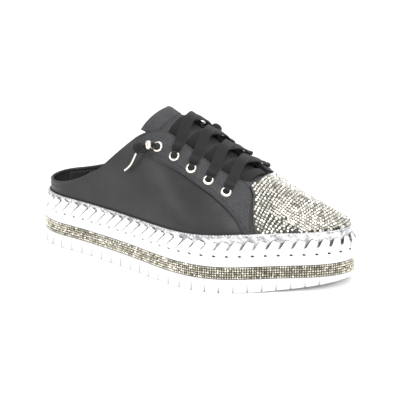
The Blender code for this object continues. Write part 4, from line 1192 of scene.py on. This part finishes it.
# the padded tongue, with a band sewn across under its top edge
tongue = {"thickness": 0.0035, "depth": 0.0035, "overlap": 0.0050, "tip": -0.024, "tipCurve": 0.009,
          "root": 0.064, "bandShare": 0.865, "groove": 0.0006, "edgeSeam": 0.88}


def makeTongue():
    share = np.concatenate([np.linspace(0, 0.84, 44), np.linspace(0.85, 0.955, 24), 1 - 0.045 * np.linspace(1, 0, 9)[1:] ** 2])
    across = np.linspace(-1, 1, 41)
    half = form["throatGap"] + tongue["overlap"]
    top, under, ups = [], [], []
    for s in share:
        tip = tongue["tip"] - tongue["tipCurve"] * across ** 2
        x = tongue["root"] + (tip - tongue["root"]) * s
        width = half * (0.72 + 0.28 * float(smoothStep(s, 0.0, 0.35)))
        points, normals = np.empty((len(across), 3)), np.empty((len(across), 3))
        for side, chosen in ((-1, across < 0), (1, across >= 0)):
            turn, level = locate(x[chosen], sideHalf(np.abs(across[chosen]) * width, side), side)
            points[chosen], normals[chosen] = upperPoint(turn, level), upperNormal(turn, level)
        thick = tongue["thickness"] * (1 - np.abs(across) ** 7) ** 0.5
        if s > 0.955:
            thick = thick * math.sqrt(max(0.0, 1 - ((s - 0.955) / 0.045) ** 2))
        middle = -(tongue["depth"] + tongue["thickness"] / 2)
        seam = tongue["groove"] * math.exp(-((s - tongue["bandShare"]) / 0.006) ** 2)
        seam = seam + tongue["groove"] * 0.6 * np.exp(-((np.abs(across) - tongue["edgeSeam"]) / 0.02) ** 2) * (s < 0.85)
        top.append(points + normals * (middle + thick / 2 - seam * (thick > 0.001))[:, None])
        under.append(points + normals * (middle - thick / 2)[:, None])
        ups.append(normals)
    top, under, ups = np.array(top), np.array(under), np.array(ups)
    loop = np.concatenate([top, under[:, ::-1]], axis=1)
    loop = np.concatenate([loop, loop[:, :1]], axis=1)
    piece = sheetPiece("tonguePad", loop[::-1])
    mergeSeams(piece, 4e-6)
    closeEnds(piece)
    finished(piece, "grained", ("tongue",))
    row = int(np.argmin(np.abs(share - (tongue["bandShare"] - 0.018))))
    lift = ups * 0.00005
    sew((top + lift)[row, 3:-3], ups[row, 3:-3])
    for column in (4, len(across) - 5):
        sew((top + lift)[20:row - 1, column], ups[20:row - 1, column])


makeTongue()

# the insole, with a low edge
insole = {"thickness": 0.0035}


def makeInsole():
    turns = turnAt(np.linspace(0, perimeter, 241))
    turns[-1] = 2 * math.pi
    inset = form["featherInset"] + form["wall"] + 2 * form["gap"]
    low, high = featherHeight, featherHeight + insole["thickness"]
    edge = outline(turns, inset)
    middle = np.column_stack([np.clip(edge[:, 0], -0.085, 0.082), np.full(len(edge), axisShift)])
    rows = []
    for spread, height in ((0.0, low), (0.5, low), (1.0, low), (1.0, high - 0.0006), (0.985, high - 0.0001),
                           (0.95, high), (0.85, high - 0.0003), (0.6, high - 0.0006), (0.3, high - 0.0007),
                           (0.0, high - 0.0007)):
        rows.append(np.column_stack([middle + (edge - middle) * spread, np.full(len(edge), height)]))
    piece = sheetPiece("insoleBoard", np.array(rows))
    mergeSeams(piece)
    return finished(piece, "lining", ("insole",))


# a bare black patch sewn to the lining beside the heel
patch = {"turns": (-0.62, -0.20), "top": 0.0018, "tall": 0.0085, "thick": 0.0005}


def makeHeelPatch():
    turns = 2 * math.pi + np.linspace(*patch["turns"], 40)
    tops = topLevel(turns)
    crest = upperPoint(turns, tops)[:, 2]
    heights = crest[None, :] - patch["top"] - np.linspace(patch["tall"], 0, 16)[:, None]
    grid = np.broadcast_to(turns, heights.shape)
    low = stripTop(outline(grid, form["featherInset"])[..., 0])
    levels = np.where(heights >= low, levelAtHeight(grid, heights),
                      (heights - featherHeight) / (low - featherHeight) - 1)
    inward = overUpper(grid, levels, np.full(grid.shape, -(form["wall"] + patch["thick"] + 0.0001)))
    piece = sheetPiece("heelPatch", inward[:, ::-1])
    applied(piece, "SOLIDIFY", thickness=patch["thick"], offset=-1.0)
    finished(piece, "leather")
    normals = -upperNormal(grid, levels)
    for row in (1, -2):
        sew(inward[row, 2:-2] + normals[row, 2:-2] * 0.00015, normals[row, 2:-2], "grey")
    for column in (1, -2):
        sew(inward[1:-1, column] + normals[1:-1, column] * 0.00015, normals[1:-1, column], "grey")


makeInsole()
makeHeelPatch()
print("tongue, insole and heel patch made")

# the eyelets: rolled rings in each eyestay
eyelet = {"pairs": 5, "first": -0.0125, "last": 0.0470, "fromCrown": 0.0290, "spread": 0.0040,
          "profile": [(0.0021, -0.0036), (0.0021, 0.0002), (0.00225, 0.0007), (0.0026, 0.00105), (0.0031, 0.00115),
                      (0.0036, 0.00095), (0.0040, 0.00055), (0.0042, 0.00015), (0.0040, 0.00005),
                      (0.0027, 0.00005), (0.0027, -0.0036)]}
eyeletX = np.linspace(eyelet["first"], eyelet["last"], eyelet["pairs"])


def eyeletHalf(x):
    return eyelet["fromCrown"] + eyelet["spread"] * (x - eyelet["first"]) / (eyelet["last"] - eyelet["first"])


def makeEyelets():
    for side, word in ((-1, "right"), (1, "left")):
        for number, x in enumerate(eyeletX, start=1):
            turn, level = locate(x, sideHalf(eyeletHalf(x), side), side)
            axis = upperNormal(turn, level)
            centre = overUpper(turn, level, form["panelGap"] + stay["thickness"])
            first = unit(np.cross(axis, (1.0, 0.0, 0.0)))
            second = np.cross(axis, first)
            angle = np.linspace(0, 2 * math.pi, 33)
            rows = []
            for radius, height in eyelet["profile"] + eyelet["profile"][:1]:
                rows.append(centre + radius * (np.cos(angle)[:, None] * first + np.sin(angle)[:, None] * second)
                            + axis * height)
            piece = sheetPiece(f"eyelet{word.capitalize()}{number}", np.array(rows)[::-1])
            mergeSeams(piece)
            closeEnds(piece)
            finished(piece, "metal", (f"eyelet_{word}_{number}",))


makeEyelets()

# flat laces: each run leaves an eyelet, crosses the tongue and goes under the other eyestay's edge
lace = {"width": 0.0076, "thickness": 0.0015, "over": 0.0031, "underShift": 0.0062, "cross": 0.0013,
        "barBack": 0.0075, "samples": 60}


def ribbonPiece(name, points, normals, widths, thicks):
    along = unit(np.gradient(points, axis=0))
    across = unit(np.cross(normals, along))
    up = np.cross(along, across)
    angle = np.linspace(0, 2 * math.pi, 21)
    c, s = np.cos(angle), np.sin(angle)
    # a flat oval: nearly straight faces and round edges
    flatX = np.sign(c) * np.abs(c) ** 0.45
    flatZ = np.sign(s) * np.abs(s) ** 0.75
    places = (points[:, None] + across[:, None] * (flatX * widths[:, None] / 2)[..., None]
              + up[:, None] * (flatZ * thicks[:, None] / 2)[..., None])
    run = np.concatenate([[0], np.cumsum(np.linalg.norm(np.diff(points, axis=0), axis=1))])
    around = np.cumsum(np.concatenate([[0], np.hypot(np.diff(flatX), 0.2 * np.diff(flatZ))])) * lace["width"] / 2
    uv = np.stack(np.broadcast_arrays(run[:, None], around[None, :]), axis=-1)
    piece = sheetPiece(name, places, uv)
    mergeSeams(piece)
    closeEnds(piece)
    return piece


def smoothRoute(places, count):
    places = np.array(places)
    run = np.concatenate([[0.0], np.cumsum(np.linalg.norm(np.diff(places, axis=0), axis=1))])
    fine = np.linspace(0, run[-1], 400)
    dense = np.stack([naturalSpline(run, places[:, i])(fine) for i in range(places.shape[1])], axis=1)
    length = np.concatenate([[0.0], np.cumsum(np.linalg.norm(np.diff(dense[:, :3], axis=0), axis=1))])
    even = np.linspace(0, length[-1], count)
    return np.stack([np.interp(even, length, dense[:, i]) for i in range(places.shape[1])], axis=1)


def makeLaceRun(level, side):
    # level counts the crossings from the top; the run starts one pair lower
    startX, endX = eyeletX[level + 1], eyeletX[level] + lace["underShift"]
    startHalf, endHalf = eyeletHalf(startX), form["throatGap"]
    inner = startHalf - 0.0060
    stops = [  # x, signed half, height over the upper, share of the width
        (startX, side * startHalf, -0.0022, 0.42), (startX, side * (startHalf - 0.0001), 0.0008, 0.46),
        (startX - 0.0001, side * (startHalf - 0.0012), 0.0030, 0.60),
        (startX - 0.0003, side * (startHalf - 0.0034), 0.0036, 0.90), (startX - 0.0005, side * inner, 0.0033, 1.0)]
    hump = lace["cross"] if side < 0 else -0.0003
    for share in np.linspace(0.12, 0.92, 9):
        x = startX + (endX - startX) * share
        half = side * inner + (-side * endHalf - side * inner) * share
        lift = lace["over"] + hump * math.exp(-((share - 0.52) / 0.16) ** 2) - 0.0026 * float(smoothStep(share, 0.70, 0.95))
        stops.append((x, half, lift, 1.0))
    stops.append((endX, -side * (endHalf + 0.0006), -0.0016, 0.97))
    stops.append((endX - 0.0004, -side * (endHalf + 0.0050), -0.0030, 0.9))
    points, normals = [], []
    for x, half, lift, _ in stops:
        where, up = placeOver(x, abs(half), -1 if half < 0 else 1, lift)
        points.append(where)
        normals.append(up)
    widths = np.array([stop[3] for stop in stops]) * lace["width"]
    route = smoothRoute(np.column_stack([points, normals, widths]), lace["samples"])
    word = "Right" if side < 0 else "Left"
    thicks = np.clip(lace["thickness"] * lace["width"] / route[:, 6], lace["thickness"], lace["thickness"] * 1.9)
    piece = ribbonPiece(f"laceRun{word}{level + 1}", route[:, :3], unit(route[:, 3:6]), route[:, 6], thicks)
    nodes = (f"lace_crossing_{level + 1}",) if side < 0 else ()
    return finished(piece, "lace", nodes)


def makeLaceBar():
    x = form["throatEnd"] - lace["barBack"]
    reach = float(throatHalf(x)) + 0.001
    halves = np.linspace(-reach, reach, 9)
    lift = 0.0005 + lace["thickness"] / 2 - tongue["depth"]
    pairs = [placeOver(x, abs(h), -1 if h < 0 else 1, lift) for h in halves]
    route = smoothRoute(np.column_stack([[p[0] for p in pairs], [p[1] for p in pairs]]), 40)
    count = len(route)
    piece = ribbonPiece("laceBar", route[:, :3], unit(route[:, 3:6]), np.full(count, lace["width"]),
                        np.full(count, lace["thickness"]))
    return finished(piece, "lace", ("lace_bar",))


for crossing in range(eyelet["pairs"] - 1):
    makeLaceRun(crossing, 1)
    makeLaceRun(crossing, -1)
makeLaceBar()
print("laces made")

# the lace ends: a short cord out of each top eyelet, a bead, a knot and a thin tip
laceEnd = {"diameter": 0.0034, "tailDiameter": 0.0015, "knotRadius": 0.0044, "beadRadius": 0.0036,
           "beadLength": 0.0040, "tipDiameter": 0.0018}
laceEnds = {
    "right": {
        "cord": [(-0.0125, 0.0290, -0.0035), (-0.0125, 0.0290, 0.0030), (-0.0135, 0.0292, 0.0062),
                 (-0.0165, 0.0298, 0.0078), (-0.0200, 0.0304, 0.0078)],
        "bead": 0.78,
        "knot": (-0.0245, 0.0312, 0.0074),
        "tail": [(-0.0275, 0.0335, 0.0050), (-0.0310, 0.0350, 0.0036), (-0.0375, 0.0352, 0.0030)],
    },
    "left": {
        "cord": [(-0.0125, 0.0290, -0.0035), (-0.0125, 0.0290, 0.0030), (-0.0110, 0.0290, 0.0062),
                 (-0.0075, 0.0290, 0.0080), (-0.0038, 0.0290, 0.0080)],
        "bead": 0.78,
        "knot": (0.0008, 0.0292, 0.0076),
        "tail": [(0.0050, 0.0300, 0.0062), (0.0105, 0.0310, 0.0052), (0.0170, 0.0316, 0.0046)],
    },
}


def turnedPiece(name, centre, axis, profile, sides=28):
    first = unit(np.cross(axis, (0.2, 0.1, 1.0)))
    second = np.cross(axis, first)
    angle = np.linspace(0, 2 * math.pi, sides + 1)
    around = np.cos(angle)[:, None] * first + np.sin(angle)[:, None] * second
    rows = [centre + radius * around + axis * height for radius, height in profile]
    piece = sheetPiece(name, np.array(rows))
    mergeSeams(piece)
    closeEnds(piece)
    return piece


def makeLaceEnd(word, side):
    end = laceEnds[word]
    title = word.capitalize()

    def spots(places):
        return [placeOver(x, half, side, lift)[0] for x, half, lift in places]

    route = spots(end["cord"])
    knot = spots([end["knot"]])[0]
    route.append(knot - unit(knot - route[-1]) * (laceEnd["knotRadius"] + form["gap"]))
    arm = smoothRoute(route, 14)
    tail = spots(end["tail"])
    leave = unit(tail[0] - knot)
    tailLine = smoothRoute([knot + leave * (laceEnd["knotRadius"] + form["gap"])] + tail, 12)
    centres = smoothRoute(np.concatenate([arm, [knot], tailLine]), 60)
    length = float(np.sum(np.linalg.norm(np.diff(centres, axis=0), axis=1)))
    run = np.linspace(0, 1, len(centres))
    armShare = float(np.sum(np.linalg.norm(np.diff(arm, axis=0), axis=1))) / length
    radii = laceEnd["diameter"] / 2 + (laceEnd["tailDiameter"] - laceEnd["diameter"]) / 2 * smoothStep(
        run, armShare, armShare + 0.15)
    first, second, along = crossWays(centres, np.tile([0.05, 0.1, 1.0], (len(centres), 1)))
    cordPiece = tubePiece(f"laceEnd{title}", centres, first, second, radii, 12)
    finished(cordPiece, "lace", (f"lace_end_{word}",))

    index = int(round(end["bead"] * 13))
    axis = unit(arm[index + 1] - arm[index - 1])
    hole, rim, half = laceEnd["diameter"] / 2 + 0.0002, laceEnd["beadRadius"], laceEnd["beadLength"] / 2
    profile = [(hole, -half), (hole + 0.0004, -half - 0.0002), (rim - 0.0008, -half), (rim - 0.0002, -half * 0.72),
               (rim, -half * 0.3), (rim, half * 0.3), (rim - 0.0002, half * 0.72), (rim - 0.0008, half),
               (hole + 0.0004, half + 0.0002), (hole, half), (hole, -half)]
    bead = finished(turnedPiece(f"bead{title}", arm[index], axis, profile), "metal",
                    (f"bead_{word}",))

    # the knot: a barrel of lace wound round itself
    way = unit(knot - arm[-2])
    first = unit(np.cross(way, (0.1, 0.2, 1.0)))
    second = np.cross(way, first)
    angle = np.linspace(0, 2 * math.pi, 33)
    rows = []
    for t in np.linspace(-1, 1, 33):
        body = laceEnd["knotRadius"] * (1 - abs(t) ** 3.4) ** (1 / 2.4) * 0.98
        wound = 1 + 0.055 * np.sin(3 * math.pi * t * 2.2 + angle) * (1 - t * t)
        ring = np.cos(angle)[:, None] * first + np.sin(angle)[:, None] * second
        rows.append(knot + way * laceEnd["knotRadius"] * 0.95 * t + ring * (body * wound)[:, None])
    knotPiece = sheetPiece(f"laceKnot{title}", np.array(rows))
    mergeSeams(knotPiece, 5e-6)
    closeEnds(knotPiece)
    finished(knotPiece, "lace", (f"lace_knot_{word}",))

    tipRadii = np.full(len(tailLine), laceEnd["tipDiameter"] / 2)
    tipRadii[0] *= 0.9
    tipRadii[-1] *= 0.55
    first, second, along = crossWays(tailLine, np.tile([0.05, 0.1, 1.0], (len(tailLine), 1)))
    tip = tubePiece(f"laceTip{title}", tailLine, first, second, tipRadii, 10)
    finished(tip, "metal", (f"aglet_{word}",))
    print("lace end", word, round(length, 4), "m")


makeLaceEnd("right", -1)
makeLaceEnd("left", 1)

# the collar's own row of stitches, a little under its edge
collarSeam = {"drop": 0.0032, "corner": 0.97}


def sewCollar():
    turns = np.concatenate([np.linspace(2 * math.pi - collarSeam["corner"], 2 * math.pi, 90),
                            np.linspace(0, collarSeam["corner"], 90)[1:]])
    wrapped = np.mod(turns, 2 * math.pi)
    tops = topLevel(wrapped)
    crest = upperPoint(wrapped, tops)
    lower = upperPoint(wrapped, tops - 0.02)
    perLevel = np.linalg.norm(crest - lower, axis=1) / 0.02
    levels = np.maximum(tops - collarSeam["drop"] / perLevel, 0.0)
    sew(overUpper(wrapped, levels, np.full(len(turns), 0.00008)), upperNormal(wrapped, levels))


sewCollar()

# every stitch is a short round-ended thread
stitch = {"pitch": 0.0026, "length": 0.0019, "thick": 0.00042}


def makeStitches(thread, look):
    origins, axes = [], []
    for points, normals in stitchRows[thread]:
        spots, ups = evenly(points, stitch["pitch"], normals)
        along = unit(np.gradient(spots, axis=0))
        ups = unit(ups)
        side = unit(np.cross(ups, along))
        origins.append(spots)
        axes.append(np.stack([along, side, np.cross(along, side)], axis=1))
    bpy.ops.object.select_all(action="DESELECT")
    bpy.ops.mesh.primitive_uv_sphere_add(segments=8, ring_count=5, radius=1.0, rotation=(0, math.pi / 2, 0))
    seed = bpy.context.object
    seed.data.transform(seed.matrix_world)
    seed.matrix_world = Matrix.Identity(4)
    for vertex in seed.data.vertices:
        # flattened ends make it a stitch and not a bead
        vertex.co.x = math.copysign(abs(vertex.co.x) ** 0.6, vertex.co.x)
    seed.data.transform(Matrix.Diagonal((stitch["length"] / 2, stitch["thick"] / 2, stitch["thick"] / 2, 1.0)))
    stitches = copiesOf(seed, f"{thread}Stitches", np.concatenate(origins), np.concatenate(axes))
    print(thread, "stitches:", sum(len(o) for o in origins))
    return finished(stitches, look)


makeStitches("black", "blackThread")
makeStitches("grey", "greyThread")

# a pale floor and soft studio light
studio = {"floorSize": 30.0, "floorColour": 0.93, "world": 0.85, "key": 9.0, "fill": 4.0, "top": 10.0}


def makeFloor():
    bpy.ops.mesh.primitive_plane_add(size=studio["floorSize"])
    floor = bpy.context.object
    floor.name = "studioFloor"
    tone = studio["floorColour"]
    paint = Paint("paleFloor", (tone, tone, tone), 0.9, Specular_IOR_Level=0.1)
    paint.colour(paint.blendColours(paint.noise(3.0, 2), (tone, tone, tone), (tone * 0.995,) * 3))
    floor.data.materials.append(paint.material)


def makeLight(name, place, aim, size, power):
    bpy.ops.object.light_add(type="AREA", location=place)
    lamp = bpy.context.object
    lamp.name = name
    lamp.data.shape = "RECTANGLE"
    lamp.data.size, lamp.data.size_y = size
    lamp.data.energy = power
    lamp.rotation_euler = (Vector(aim) - Vector(place)).to_track_quat("-Z", "Y").to_euler()


def makeWorld():
    world = bpy.data.worlds.new("studioWorld")
    world.use_nodes = True
    world.node_tree.nodes["Background"].inputs["Color"].default_value = (1.0, 1.0, 1.0, 1.0)
    world.node_tree.nodes["Background"].inputs["Strength"].default_value = studio["world"]
    scene.world = world


makeFloor()
makeWorld()
makeLight("topSoftbox", (0.1, 0.1, 1.3), (0.0, 0.0, 0.03), (1.2, 0.9), studio["top"])
makeLight("keySoftbox", (0.9, -0.7, 0.9), (0.02, 0.0, 0.05), (0.7, 0.7), studio["key"])
makeLight("fillSoftbox", (-0.9, -0.8, 0.6), (-0.02, 0.0, 0.05), (0.8, 0.6), studio["fill"])
scene.view_settings.view_transform = "Standard"
print("studio made")
